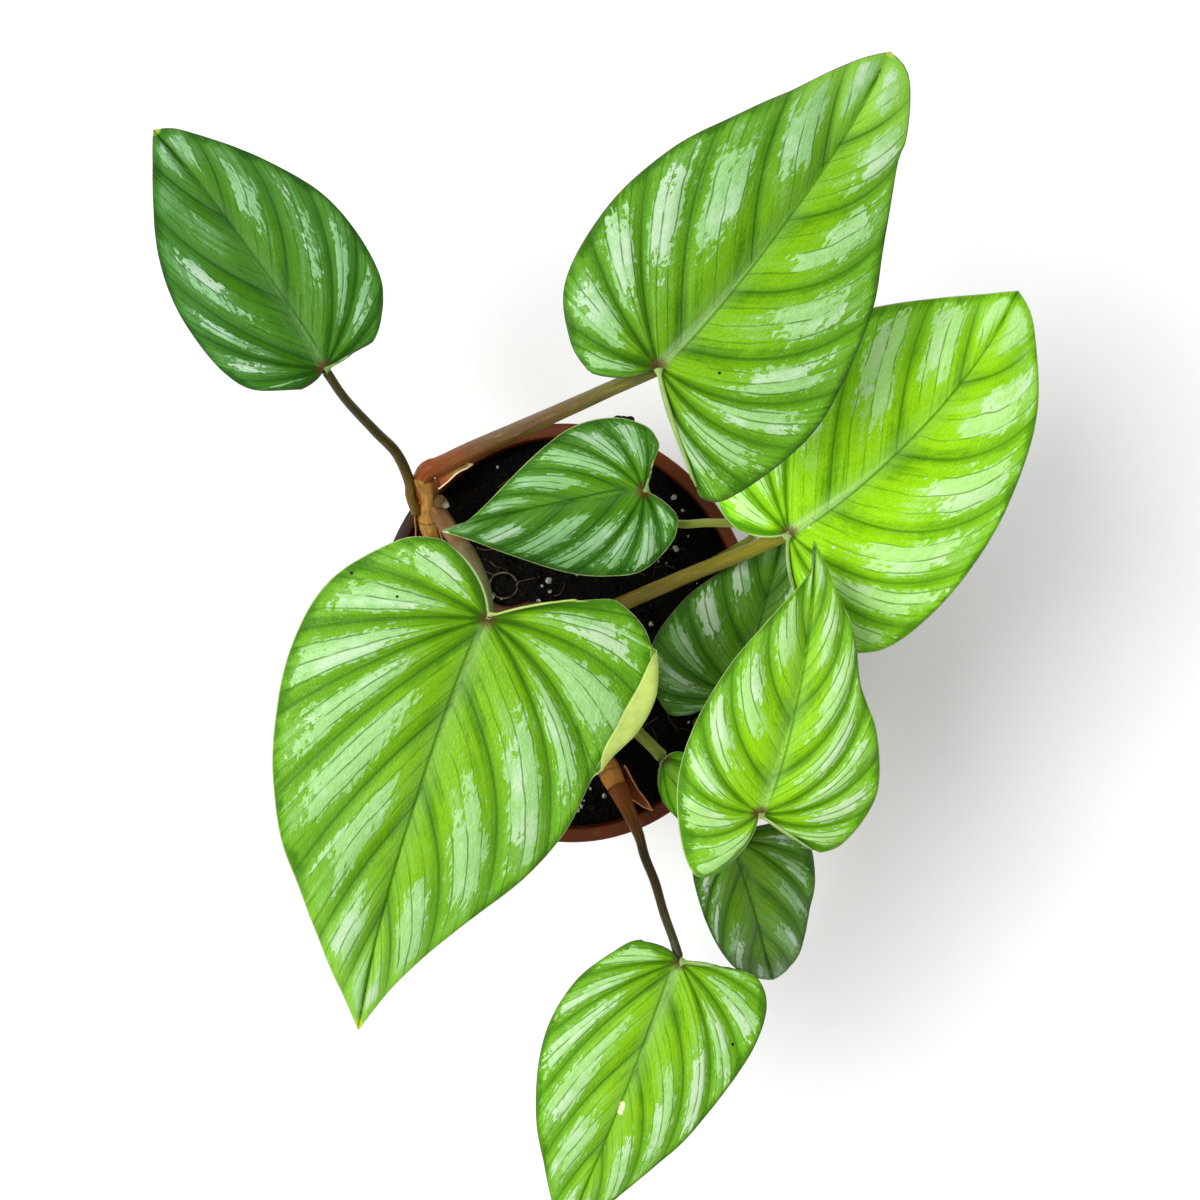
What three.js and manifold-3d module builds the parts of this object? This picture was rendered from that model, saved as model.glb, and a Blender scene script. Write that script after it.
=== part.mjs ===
// A potted philodendron mamei: ten heart-shaped blades with sunken veins, on arching stalks that
// rise from a creeping stem and from the soil of a round plastic nursery pot.
// Millimetres, +Z up. The origin is the centre of the pot's underside. Seen from above, +X is the
// photo's right and +Y its upper edge, so the plant's front faces -Y.
import * as THREE from "three";
import { mergeVertices } from "three/addons/utils/BufferGeometryUtils.js";
import Module from "manifold-3d";

const wasm = await Module();
wasm.setup();

// Clearance between two pieces that touch on the real plant.
const GAP = 0.3;

// The pot: a tapered cup with a wider band at the rim.
const POT_HEIGHT = 105;
const RIM_RADIUS = 60;
const RIM_WIDTH = 3;
const LIP = 1;
const BASE_RADIUS = 42;
const WALL = 1.6;
const FLOOR = 2.4;
// The band's lower edge, and the taper's radius just under it.
const BAND_FOOT = 90;
const TAPER_TOP = 55.8;
const POT_SEGMENTS = 48;
// The soft pot is pressed oval: its width and depth as shares of the round one, and the oval's turn.
const OVAL = [0.93, 1.02];
const OVAL_TURN = THREE.MathUtils.degToRad(7);
const DRAIN_HOLES = 6;
const DRAIN_RADIUS = 4;
const DRAIN_CIRCLE = 30;

// The potting mix and the white grains in it.
const SOIL_LEVEL = 97;
const SOIL_RELIEF = 0.5;
const GRAINS = 46;
const GRAIN_RADIUS = [0.7, 1.3];

// A blade's thickness, and the extra depth of the rib under its midrib at the stalk.
const BLADE = 0.8;
const RIB = 1.2;
// Rows of facets from the midrib to the margin, and columns for each vein.
const ROWS = 4;
const COLUMNS = 4;
// Below 1 the veins lie closer together towards the tip.
const VEIN_SPREAD = 0.8;
// Share of the veins that all spring from the stalk, where the last one leaves the midrib, and how
// slowly the first ones climb it.
const FAN_SHARE = 0.54;
const LAST_VEIN = 0.9;
const CLIMB = 1.5;
// Share of the outline whose veins bend towards the notch.
const NOTCH_SHARE = 0.22;
// Half of a blade's width is about this share of its length.
const HALF_WIDTH = 0.4;

const COLOURS = {
  pot: 0x9a4a2c,
  soil: 0x17120f,
  stem: 0xb5793a,
  scale: 0xc58a4e,
  stalk: 0x8b7a34,
  bright: 0x7fbf2e,
  green: 0x4f9a3a,
  dark: 0x2f6a2c,
};

// The leaves. base is where the blade meets its stalk. heading is the way the midrib points, in
// degrees from +X, dip is how far its tip hangs and roll tips the blade to one side. The outline
// on each side of the midrib is a list of points [along, across] from the base: it starts where
// the edge of the notch ends and stops at the tip, and notch is the point that bends that edge.
// bend bows the midrib sideways, arch bows the blade up along its length, rise lifts each half
// between midrib and margin, sag drops the margins and pleat is the depth of the sunken veins.
// veins counts the veins of each side, which needn't be whole: they are counted from the tip.
// crowd is 1 where a side's veins end evenly round the outline, and more where they crowd towards
// the notch. bow is how far a side's veins bow away from the tip, as a share of their length.
// thick is the stalk's radius at its foot and at the blade, and stalk lists the points of its way.
const LEAVES = [
  {
    name: "back_left", colour: "green",
    base: [-62.7, 70.1, 165], heading: 126, dip: 10, roll: 0,
    veins: { left: 6, right: 5.6 }, bend: -2, arch: 3, rise: 1, sag: 3, pleat: 0.8,
    crowd: { left: 1, right: 1 }, bow: { left: 0.14, right: 0.2 },
    leftNotch: [-2, 3],
    left: [[-1, 8], [6, 18], [15, 22], [27, 23], [39, 22], [52, 18], [70, 8], [83, 0]],
    rightNotch: [-1.5, -6],
    right: [[-2, -13], [-1.7, -15.4], [2, -20], [11, -26], [26, -28], [41, -26], [57, -19], [70, -11],
      [79, -5], [83, 0]],
    thick: [2.6, 1.4],
    stalk: [[-42.8, 36.5, 117], [-44.4, 42.4, 121], [-47.2, 50.4, 130], [-52.2, 56, 141], [-58.7, 63.6, 156]],
  },
  {
    name: "back_right", colour: "green",
    base: [23.3, 65.1, 215], heading: 54, dip: 9, roll: 0,
    veins: { left: 6.7, right: 8.7 }, bend: -4, arch: 4, rise: 1.5, sag: 4, pleat: 1.1,
    crowd: { left: 1, right: 1.55 }, bow: { left: 0.13, right: 0.28 },
    leftNotch: [-7, 2],
    left: [[-10, 10], [-10.5, 13.4], [-7, 21], [4, 30], [25, 32.5], [46, 28], [64, 19], [75, 13], [90, 6],
      [99, 0]],
    rightNotch: [-8, -8],
    right: [[-18, -25], [-18.5, -27.2], [-15, -32], [2, -38], [17, -39], [40, -34], [55, -27], [74, -18],
      [81, -16], [91, -11], [97, -6], [99, 0]],
    thick: [2.9, 1.7],
    stalk: [[-40.2, 46.1, 122], [-36.2, 47.3, 124], [-25.7, 51.1, 135], [-12.7, 54.6, 157], [-0.7, 57.6, 180],
      [13.3, 61.6, 203]],
  },
  {
    name: "right", colour: "bright",
    base: [58.3, 27.1, 172], heading: 46, dip: 9, roll: 0,
    veins: { left: 7.3, right: 7.2 }, bend: -6, arch: 3, rise: 1.2, sag: 4, pleat: 1,
    crowd: { left: 1, right: 1.32 }, bow: { left: 0.12, right: 0.34 },
    leftNotch: [-5, 2],
    left: [[-8, 8], [-8.9, 11.2], [-7, 19], [3, 28], [18, 33], [33, 34], [46, 32], [59, 25], [78, 10],
      [91, 0]],
    rightNotch: [-8, -7],
    right: [[-14, -18], [-15.1, -21.5], [-13, -30], [-4, -39], [10, -42], [28, -41], [48, -36], [67, -27],
      [80, -16], [88, -7], [91, 0]],
    thick: [2.3, 1.9],
    stalk: [[2, 3, 100.5], [4.3, 4, 106], [12.8, 7.3, 122], [24.3, 12.3, 138], [36.3, 17.5, 150],
      [48.3, 22.3, 161]],
  },
  {
    name: "centre", colour: "green",
    base: [21.3, 39.1, 149], heading: -169, dip: 9, roll: 0,
    veins: { left: 7, right: 6.6 }, bend: -1, arch: 2.5, rise: 1, sag: 2, pleat: 0.8,
    crowd: { left: 1, right: 1 }, bow: { left: 0.18, right: 0.18 },
    leftNotch: [-4, 2],
    left: [[-7, 7], [-7.6, 9.4], [-5, 15], [4, 21], [13, 21], [24, 18], [39, 10], [49, 4], [57, 0]],
    rightNotch: [-2, -3],
    right: [[-6, -10], [-6.5, -12.1], [-4, -17], [4, -21], [14, -21], [24, -17], [41, -6], [50, -1],
      [57, 0]],
    thick: [1.3, 1.1],
    stalk: [[43.4, 21.4, 86], [43.4, 21.4, 98], [50.3, 25.1, 118], [48.8, 29.1, 131], [39.3, 30.6, 139],
      [30.3, 30.6, 141], [24.8, 34.1, 143.5]],
  },
  {
    name: "front_right", colour: "bright",
    base: [50.3, -44.9, 178], heading: 79, dip: -5, roll: 0,
    veins: { left: 7, right: 7.3 }, bend: -3, arch: 5, rise: 1.5, sag: 4, pleat: 1.1,
    crowd: { left: 1, right: 1 }, bow: { left: 0.26, right: 0.28 },
    leftNotch: [-9, -1],
    left: [[-19, 7], [-20.1, 8.5], [-20, 13], [-12, 18], [3, 22], [19, 21], [37, 15], [53, 6], [63, 0],
      [71, 0]],
    rightNotch: [-2, -6],
    right: [[-7, -16], [-7.4, -18.3], [-4, -23], [7, -28], [16, -28], [28, -24], [38, -18], [50, -14],
      [61, -7], [67, -3], [71, 0]],
    thick: [2.2, 1.7],
    stalk: [[39, -27, 86], [39, -27, 98], [44.5, -29.9, 125], [47.3, -36.9, 152]],
  },
  {
    name: "front_left", colour: "bright",
    base: [-17.7, 5.1, 205], heading: -108, dip: 10, roll: 0,
    veins: { left: 7.4, right: 8.1 }, bend: -3, arch: 5, rise: 1.8, sag: 5, pleat: 1.2,
    crowd: { left: 1, right: 1 }, bow: { left: 0.22, right: 0.08 },
    leftNotch: [-8, 10],
    left: [[-13, 25], [-13.3, 29.2], [-8, 38], [4, 44], [15, 43], [26, 37], [44, 34], [58, 28], [76, 16],
      [94, 6], [111, 0]],
    rightNotch: [-10, -3],
    right: [[-14, -14], [-14.6, -18], [-11, -27], [4, -40], [23, -44], [46, -41], [66, -33], [80, -23],
      [92, -14], [104, -5], [111, 0]],
    thick: [2.6, 1.6],
    stalk: [[-37.4, 35.2, 115], [-35.2, 32.4, 118], [-31, 26.6, 123], [-27, 22.8, 141], [-21.2, 14.1, 171]],
  },
  {
    name: "front", colour: "bright",
    base: [31.3, -89.9, 138], heading: -111, dip: 15, roll: 0,
    veins: { left: 6.9, right: 6 }, bend: 0, arch: 4, rise: 1.2, sag: 3, pleat: 0.9,
    crowd: { left: 1, right: 1 }, bow: { left: 0.22, right: 0.12 },
    leftNotch: [-2, 6],
    left: [[-4, 13], [-4, 21], [3, 27], [15, 28], [31, 25], [49, 19.5], [66, 12], [80, 5.5], [92, 0]],
    rightNotch: [-4, -3],
    right: [[-2, -12], [-1.1, -14.1], [3, -17.5], [14, -24], [27, -27], [41, -26], [57, -21], [72, -13],
      [84, -6], [92, 0]],
    thick: [1.9, 1.25],
    stalk: [[19.2, -53.6, 117.5], [20.6, -57.4, 120], [22.1, -62.7, 123.5], [24.9, -69.4, 128],
      [27.3, -77.5, 132], [30, -84.8, 136]],
  },
  {
    name: "low_front_right", colour: "dark",
    base: [46.3, -54.9, 150], heading: -74, dip: 39, roll: 0,
    veins: { left: 5.4, right: 5 }, bend: 0, arch: 4, rise: 1, sag: 3, pleat: 0.7,
    crowd: { left: 1, right: 1 }, bow: { left: 0.18, right: 0.18 },
    leftNotch: [-4, 3],
    left: [[-3, 9], [-2, 11.6], [3, 16], [10, 19], [20, 18], [30, 15], [45, 10], [55, 5], [60, 0]],
    rightNotch: [-5, -1],
    right: [[-6, -6], [-5.9, -7.7], [-3, -11], [7, -14], [23, -14], [38, -12], [47, -9], [55, -4],
      [60, 0]],
    thick: [1.6, 1.3],
    stalk: [[37, -33, 86], [37, -33, 98], [42.3, -38.4, 112], [45.8, -46.9, 132]],
  },
  {
    name: "low_right", colour: "dark",
    base: [47.3, -15.9, 138], heading: 75, dip: -15, roll: 0,
    veins: { left: 6, right: 5.8 }, bend: 0, arch: 3, rise: 1, sag: 2, pleat: 0.8,
    crowd: { left: 1, right: 1 }, bow: { left: 0.18, right: 0.18 },
    leftNotch: [-3, 3],
    left: [[-10, 10], [-11.2, 11.8], [-12, 17], [-4, 24], [7, 26], [22, 21], [35, 12], [43, 6], [48, 0]],
    rightNotch: [-2, -4],
    right: [[-7, -10], [-7.8, -12], [-6, -17], [2, -22], [14, -22], [27, -17], [38, -9], [48, 0]],
    thick: [1.6, 1.3],
    stalk: [[39.3, -10.9, 86], [39.3, -10.9, 98], [41.3, -11.9, 115], [45.3, -14.4, 130]],
  },
  {
    name: "small", colour: "dark",
    base: [27.3, -34.9, 127], heading: -59, dip: 16, roll: 0,
    veins: { left: 4, right: 4 }, bend: 0, arch: 1.5, rise: 0.6, sag: 2, pleat: 0.4,
    crowd: { left: 1, right: 1 }, bow: { left: 0.18, right: 0.18 },
    leftNotch: [-1, 2],
    left: [[0, 4], [1.1, 5.4], [5, 7], [12, 7], [20, 6], [27, 3], [32, 0]],
    rightNotch: [0, -1],
    right: [[2, -3], [8, -6], [14, -6], [22, -4], [28, -2], [32, 0]],
    thick: [2, 1.7],
    stalk: [[7.6, -18.2, 100.5], [9, -19, 104], [13, -22, 110], [19, -27, 116], [23.5, -31, 122]],
  },
];

// The creeping stem: it lies in the soil and climbs over the rim at its back and its front end.
const CREEPER = [
  [-41.2, 45.6, 121], [-39.8, 40.1, 118], [-39.8, 31.1, 110], [-36.5, 20, 102], [-27, 9.1, 98.5],
  [-16.7, 5.1, 98], [-7.7, 6.1, 98], [1.3, 2.1, 98.5], [6.3, -8.9, 98.5], [7.3, -20.9, 98.5],
  [9.3, -31.9, 103], [13.3, -41.9, 110], [18.8, -52.9, 117],
];
const CREEPER_RADIUS = 2.9;
const CREEPER_KNOTS = 9;
const KNOT_HEIGHT = 0.35;

// Dry scales around the creeping stem, each a pointed sheath, and the bud at its back end.
const SCALES = [
  {
    name: "scale_cream", thick: [1.5, 0.3],
    way: [[-34.7, 44.1, 123], [-30.7, 46.6, 126], [-26.2, 47.6, 128]],
  },
  {
    name: "scale_back", thick: [3.6, 1.4],
    way: [[-39.2, 24.6, 107], [-40.5, 31.1, 112.5], [-41, 38.1, 118.5]],
  },
  {
    name: "scale_front", thick: [2, 0.4],
    way: [[14.3, -39.9, 110.5], [19.3, -46.4, 111.5], [25.8, -52.4, 112]],
  },
];
const BUD = { at: [-35.2, 37.8, 118.5], size: [2.8, 2.4, 2.4] };

// The same numbers on every run: a small generator of evenly spread random numbers.
function seededRandom(seed) {
  let state = seed;
  return () => {
    state = (state * 1664525 + 1013904223) % 4294967296;
    return state / 4294967296;
  };
}

// A closed geometry as a solid that can be joined and cut.
function solidOf(geometry) {
  const bare = geometry.clone();
  bare.deleteAttribute("normal");
  bare.deleteAttribute("uv");
  const merged = mergeVertices(bare, 1e-3);
  return new wasm.Manifold(new wasm.Mesh({
    numProp: 3,
    vertProperties: merged.attributes.position.array,
    triVerts: new Uint32Array(merged.index.array),
  }));
}

function geometryOf(solid) {
  const mesh = solid.getMesh();
  const geometry = new THREE.BufferGeometry();
  geometry.setAttribute("position", new THREE.BufferAttribute(mesh.vertProperties, 3));
  geometry.setIndex(new THREE.BufferAttribute(mesh.triVerts, 1));
  geometry.computeVertexNormals();
  return geometry;
}

// The geometry less the cutters, without any loose scrap that the cut leaves.
function cut(geometry, cutters) {
  const rest = cutters.reduce((solid, cutter) => solid.subtract(solidOf(cutter)), solidOf(geometry));
  const bodies = rest.decompose().sort((a, b) => b.volume() - a.volume());
  return geometryOf(bodies[0]);
}

function material(colour, roughness) {
  return new THREE.MeshStandardMaterial({ color: COLOURS[colour], roughness, metalness: 0 });
}

function piece(name, geometry, look) {
  const mesh = new THREE.Mesh(geometry, look);
  mesh.name = name;
  return mesh;
}

// Presses a round geometry into the pot's oval.
function pressed(geometry) {
  return geometry.scale(...OVAL, 1).rotateZ(OVAL_TURN);
}

// A profile of [radius, height] turned about the vertical axis, then pressed oval.
function turned(profile) {
  const points = profile.map(([radius, height]) => new THREE.Vector2(radius, height));
  const geometry = new THREE.LatheGeometry(points, POT_SEGMENTS);
  return pressed(geometry.rotateX(Math.PI / 2));
}

// The pot's inside radius at a height, before it is pressed oval.
function insideRadius(height) {
  if (height > BAND_FOOT) return RIM_RADIUS - RIM_WIDTH - LIP;
  return THREE.MathUtils.lerp(BASE_RADIUS, TAPER_TOP, height / BAND_FOOT) - WALL;
}

function potGeometry() {
  const body = turned([
    [0, 0],
    [BASE_RADIUS - LIP, 0],
    [BASE_RADIUS, LIP],
    [TAPER_TOP, BAND_FOOT],
    [RIM_RADIUS - LIP, BAND_FOOT],
    [RIM_RADIUS, POT_HEIGHT - LIP],
    [RIM_RADIUS - LIP / 2, POT_HEIGHT],
    [RIM_RADIUS - RIM_WIDTH, POT_HEIGHT],
    [insideRadius(POT_HEIGHT), POT_HEIGHT - LIP],
    [insideRadius(POT_HEIGHT), BAND_FOOT + WALL],
    [insideRadius(BAND_FOOT), BAND_FOOT - WALL],
    [insideRadius(FLOOR), FLOOR],
    [0, FLOOR],
  ]);
  const drains = Array.from({ length: DRAIN_HOLES }, (_, k) => {
    const angle = (k / DRAIN_HOLES) * 2 * Math.PI;
    const hole = new THREE.CylinderGeometry(DRAIN_RADIUS, DRAIN_RADIUS, 4 * FLOOR, 16);
    hole.rotateX(Math.PI / 2);
    hole.translate(DRAIN_CIRCLE * Math.cos(angle), DRAIN_CIRCLE * Math.sin(angle), 0);
    return hole;
  });
  return cut(body, drains);
}

// The soil's uneven surface.
function soilHeight(x, y) {
  const ripple = Math.sin(0.31 * x + 1.3) * Math.cos(0.27 * y - 0.4) + 0.5 * Math.sin(0.55 * (x + y));
  return SOIL_LEVEL + SOIL_RELIEF * ripple;
}

// The potting mix, filling the pot, with its white grains, less the holes that the stems stand in.
function soilGeometry(stems) {
  const edge = insideRadius(SOIL_LEVEL) - GAP;
  const body = turned([
    [0, FLOOR + GAP],
    [insideRadius(FLOOR) - 2 * GAP, FLOOR + GAP],
    [insideRadius(BAND_FOOT) - 2 * GAP, BAND_FOOT - WALL],
    [edge - GAP, BAND_FOOT + WALL],
    ...[1, 0.8, 0.55, 0.3, 0].map((share) => [edge * share, SOIL_LEVEL]),
  ]);
  const places = body.attributes.position;
  for (let i = 0; i < places.count; i++) {
    if (places.getZ(i) > SOIL_LEVEL - GAP) places.setZ(i, soilHeight(places.getX(i), places.getY(i)));
  }
  const random = seededRandom(7);
  let soil = solidOf(body);
  for (let k = 0; k < GRAINS; k++) {
    const radius = THREE.MathUtils.lerp(...GRAIN_RADIUS, random());
    const far = (edge - 3) * Math.sqrt(random());
    const angle = 2 * Math.PI * random();
    const grain = new THREE.OctahedronGeometry(radius, 0);
    grain.rotateX(2 * random());
    grain.rotateZ(2 * random());
    const x = OVAL[0] * far * Math.cos(angle);
    const y = OVAL[1] * far * Math.sin(angle);
    grain.translate(x, y, soilHeight(x, y) + 0.2 * radius);
    soil = soil.add(solidOf(grain));
  }
  return cut(geometryOf(soil), stems);
}

// A round stalk along a path: a closed cylinder bent onto the curve.
function bentStalk(points, radiusAt, sides, steps) {
  const path = new THREE.CatmullRomCurve3(points.map((p) => new THREE.Vector3(...p)));
  const frames = path.computeFrenetFrames(steps);
  const stalk = new THREE.CylinderGeometry(1, 1, 1, sides, steps);
  const places = stalk.attributes.position;
  for (let i = 0; i < places.count; i++) {
    const u = places.getY(i) + 0.5;
    const k = Math.round(u * steps);
    const radius = radiusAt(u);
    const place = path.getPointAt(u);
    place.addScaledVector(frames.normals[k], radius * places.getX(i));
    place.addScaledVector(frames.binormals[k], -radius * places.getZ(i));
    places.setXYZ(i, place.x, place.y, place.z);
  }
  return stalk;
}

function taper([foot, end], extra = 0) {
  return (u) => THREE.MathUtils.lerp(foot, end, u) + extra;
}

function creeperGeometry(extra = 0) {
  const swelling = (u) => CREEPER_RADIUS + KNOT_HEIGHT * Math.cos(2 * Math.PI * CREEPER_KNOTS * u) + extra;
  return bentStalk(CREEPER, swelling, 8, 4 * CREEPER_KNOTS);
}

// The creeping stem with the bud at its back end.
function stemGeometry() {
  const bud = new THREE.IcosahedronGeometry(1, 1);
  bud.scale(...BUD.size);
  bud.translate(...BUD.at);
  return geometryOf(solidOf(creeperGeometry()).add(solidOf(bud)));
}

function leafLength(leaf) {
  return leaf.left.at(-1)[0];
}

// A point of the midrib, seen flat, at a share of the blade's length.
function midribPoint(leaf, share) {
  return new THREE.Vector2(leafLength(leaf) * share, 4 * leaf.bend * share * (1 - share));
}

// Where the vein at share s of the veins leaves the midrib.
function veinStart(leaf, s) {
  const along = Math.max(0, (s - FAN_SHARE) / (1 - FAN_SHARE));
  return midribPoint(leaf, LAST_VEIN * along ** CLIMB);
}

// The height of the blade above its own plane, without the pleats.
function bladeHeight(leaf, x, y) {
  const length = leafLength(leaf);
  const share = x / length;
  const aside = Math.abs(y - midribPoint(leaf, share).y) / (HALF_WIDTH * length);
  return 4 * leaf.arch * share * (1 - share) + 4 * leaf.rise * aside * (1 - aside) - leaf.sag * aside ** 2;
}

// A point of the blade's middle layer: s runs over the veins from the notch to the tip, and t
// runs along the vein there from the midrib to the margin.
function bladePoint(leaf, side, s, t) {
  const outward = side === "left" ? 1 : -1;
  const outline = new THREE.SplineCurve(leaf[side].map((p) => new THREE.Vector2(...p)));
  const start = veinStart(leaf, s);
  const share = s ** leaf.crowd[side];
  const end = s < 1 ? outline.getPointAt(share) : outline.points.at(-1);
  const chord = end.clone().sub(start);
  const bow = leaf.bow[side] * (1 - share ** 8);
  const back = new THREE.Vector2(-chord.y, chord.x).multiplyScalar(outward * bow);
  const middle = start.clone().lerp(end, 0.5).add(back);
  const notch = new THREE.Vector2(...leaf[side + "Notch"]);
  middle.lerp(notch, Math.max(0, 1 - share / NOTCH_SHARE) ** 2);
  const flat = new THREE.QuadraticBezierCurve(start, middle, end).getPoint(t);
  const fromTip = leaf.veins[side] * (1 - s) ** VEIN_SPREAD;
  const pleat = leaf.pleat * Math.sin(Math.PI * (fromTip % 1)) * (4 * t * (1 - t) + 0.3 * t);
  return new THREE.Vector3(flat.x, flat.y, bladeHeight(leaf, flat.x, flat.y) + pleat);
}

// The blade's middle layer as triangles, with the depth of the rib under each of its points.
function bladeSheet(leaf) {
  const places = [];
  const ribs = [];
  const columns = Math.round(leaf.veins.left) * COLUMNS;
  for (const side of ["left", "right"]) {
    for (let i = 0; i < columns; i++) {
      for (let j = 0; j < ROWS; j++) {
        const ring = [[i, j], [i + 1, j], [i + 1, j + 1], [i, j + 1]];
        if (side === "right") ring.reverse();
        for (const corner of [0, 1, 2, 0, 2, 3]) {
          const [column, row] = ring[corner];
          const place = bladePoint(leaf, side, column / columns, row / ROWS);
          places.push(...place.toArray());
          const onMidrib = row === 0 || column === columns;
          ribs.push(onMidrib ? RIB * Math.max(0, 1 - place.x / leafLength(leaf)) : 0);
        }
      }
    }
  }
  const sheet = new THREE.BufferGeometry();
  sheet.setAttribute("position", new THREE.Float32BufferAttribute(places, 3));
  sheet.setAttribute("rib", new THREE.Float32BufferAttribute(ribs, 1));
  return mergeVertices(sheet, 1e-3);
}

// The sheet's triangles as corner triples, without those that shrink to a line at the stalk.
function sheetTriangles(sheet) {
  const corners = sheet.index.array;
  const triangles = [];
  for (let i = 0; i < corners.length; i += 3) {
    const [a, b, c] = corners.slice(i, i + 3);
    if (a !== b && b !== c && c !== a) triangles.push([a, b, c]);
  }
  return triangles;
}

// The sheet given its thickness: an upper and a lower face with the same triangles, and the margin.
function bladeGeometry(leaf, extra = 0) {
  const sheet = bladeSheet(leaf);
  const triangles = sheetTriangles(sheet);
  sheet.setIndex(triangles.flat());
  sheet.computeVertexNormals();
  const { position, normal, rib } = sheet.attributes;
  const count = position.count;
  const places = new Float32Array(2 * count * 3);
  for (let i = 0; i < count; i++) {
    const place = new THREE.Vector3().fromBufferAttribute(position, i);
    const up = new THREE.Vector3().fromBufferAttribute(normal, i);
    place.clone().addScaledVector(up, BLADE / 2 + extra).toArray(places, 3 * i);
    place.clone().addScaledVector(up, -BLADE / 2 - rib.getX(i) - extra).toArray(places, 3 * (count + i));
  }
  const edges = new Set(triangles.flatMap(([a, b, c]) => [`${a},${b}`, `${b},${c}`, `${c},${a}`]));
  const faces = [];
  for (const [a, b, c] of triangles) {
    faces.push(a, b, c, count + a, count + c, count + b);
    for (const [from, to] of [[a, b], [b, c], [c, a]]) {
      if (edges.has(`${to},${from}`)) continue;
      faces.push(to, from, count + from, to, count + from, count + to);
    }
  }
  const blade = new THREE.BufferGeometry();
  blade.setAttribute("position", new THREE.BufferAttribute(places, 3));
  blade.setIndex(faces);
  blade.computeVertexNormals();
  return blade;
}

// Turns and moves a blade from its own frame to its place on the plant.
function place(leaf, object) {
  const turn = [leaf.roll, leaf.dip, leaf.heading].map(THREE.MathUtils.degToRad);
  object.position.set(...leaf.base);
  object.rotation.set(...turn, "ZYX");
  object.updateMatrix();
  return object;
}

// The stalk ends in the rib under the foot of the blade, where it is then cut off square.
function stalkGeometry(leaf, extra = 0) {
  const end = new THREE.Vector3(0, 0, -RIB).applyMatrix4(place(leaf, new THREE.Object3D()).matrix);
  return bentStalk([...leaf.stalk, end.toArray()], taper(leaf.thick, extra), 8, 12);
}

// A block that clears the stalk's end from under the foot of the blade.
function footCutter(matrix) {
  const side = 12;
  const block = new THREE.BoxGeometry(side, side, side);
  return block.translate(0, 0, side / 2 - (BLADE / 2 + RIB + GAP)).applyMatrix4(matrix);
}

const plant = new THREE.Group();

plant.add(piece("pot", potGeometry(), material("pot", 0.55)));
plant.add(piece("creeping_stem", stemGeometry(), material("stem", 0.5)));

const budCutter = new THREE.SphereGeometry(1, 12, 8);
budCutter.scale(...BUD.size.map((radius) => radius + GAP));
budCutter.translate(...BUD.at);
const stemCutters = [creeperGeometry(GAP), budCutter];

for (const leaf of LEAVES) {
  const blade = place(leaf, piece("blade_" + leaf.name, bladeGeometry(leaf), material(leaf.colour, 0.45)));
  plant.add(blade);
  const stalk = cut(stalkGeometry(leaf), [...stemCutters, footCutter(blade.matrix)]);
  plant.add(piece("stalk_" + leaf.name, stalk, material("stalk", 0.45)));
}

const stalkCutters = LEAVES.map((leaf) => stalkGeometry(leaf, GAP));

for (const scale of SCALES) {
  const body = bentStalk(scale.way, taper(scale.thick), 8, 8);
  plant.add(piece(scale.name, cut(body, [...stemCutters, ...stalkCutters]), material("scale", 0.6)));
}

plant.add(piece("soil", soilGeometry([...stemCutters, ...stalkCutters]), material("soil", 0.95)));

export default plant;
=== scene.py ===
"""A potted philodendron mamei, dressed for rendering: ten pleated, silver-marked leaf blades on
arching stalks, a creeping stem with its dry scales, and a round plastic nursery pot full of dark
potting mix. The file is laid out as an add-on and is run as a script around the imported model."""
import itertools
import math
import random

import bmesh
import bpy
from mathutils import Euler, Matrix, Vector, noise


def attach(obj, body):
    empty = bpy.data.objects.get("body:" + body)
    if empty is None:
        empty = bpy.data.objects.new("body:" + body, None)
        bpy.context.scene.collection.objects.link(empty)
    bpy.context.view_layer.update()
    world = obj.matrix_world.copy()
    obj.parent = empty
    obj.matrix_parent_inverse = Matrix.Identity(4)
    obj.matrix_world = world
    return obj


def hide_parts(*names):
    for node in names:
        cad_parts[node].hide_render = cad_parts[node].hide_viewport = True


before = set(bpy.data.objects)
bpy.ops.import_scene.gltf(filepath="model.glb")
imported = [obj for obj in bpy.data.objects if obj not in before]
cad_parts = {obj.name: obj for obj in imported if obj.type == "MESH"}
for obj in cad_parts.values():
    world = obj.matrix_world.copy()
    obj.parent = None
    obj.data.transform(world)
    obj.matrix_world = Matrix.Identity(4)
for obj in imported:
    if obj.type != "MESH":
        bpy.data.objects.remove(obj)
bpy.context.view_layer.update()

bl_info = {
    "name": "Potted philodendron mamei",
    "version": (1, 0, 0),
    "blender": (4, 5, 0),
    "location": "View3D > Sidebar > Plant",
    "description": "Makes the leaves, stalks, stem, scales, pot and soil of a potted philodendron",
    "category": "Object",
}

MM = 0.001

BLACK, WHITE = (0, 0, 0), (1, 1, 1)


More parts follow.
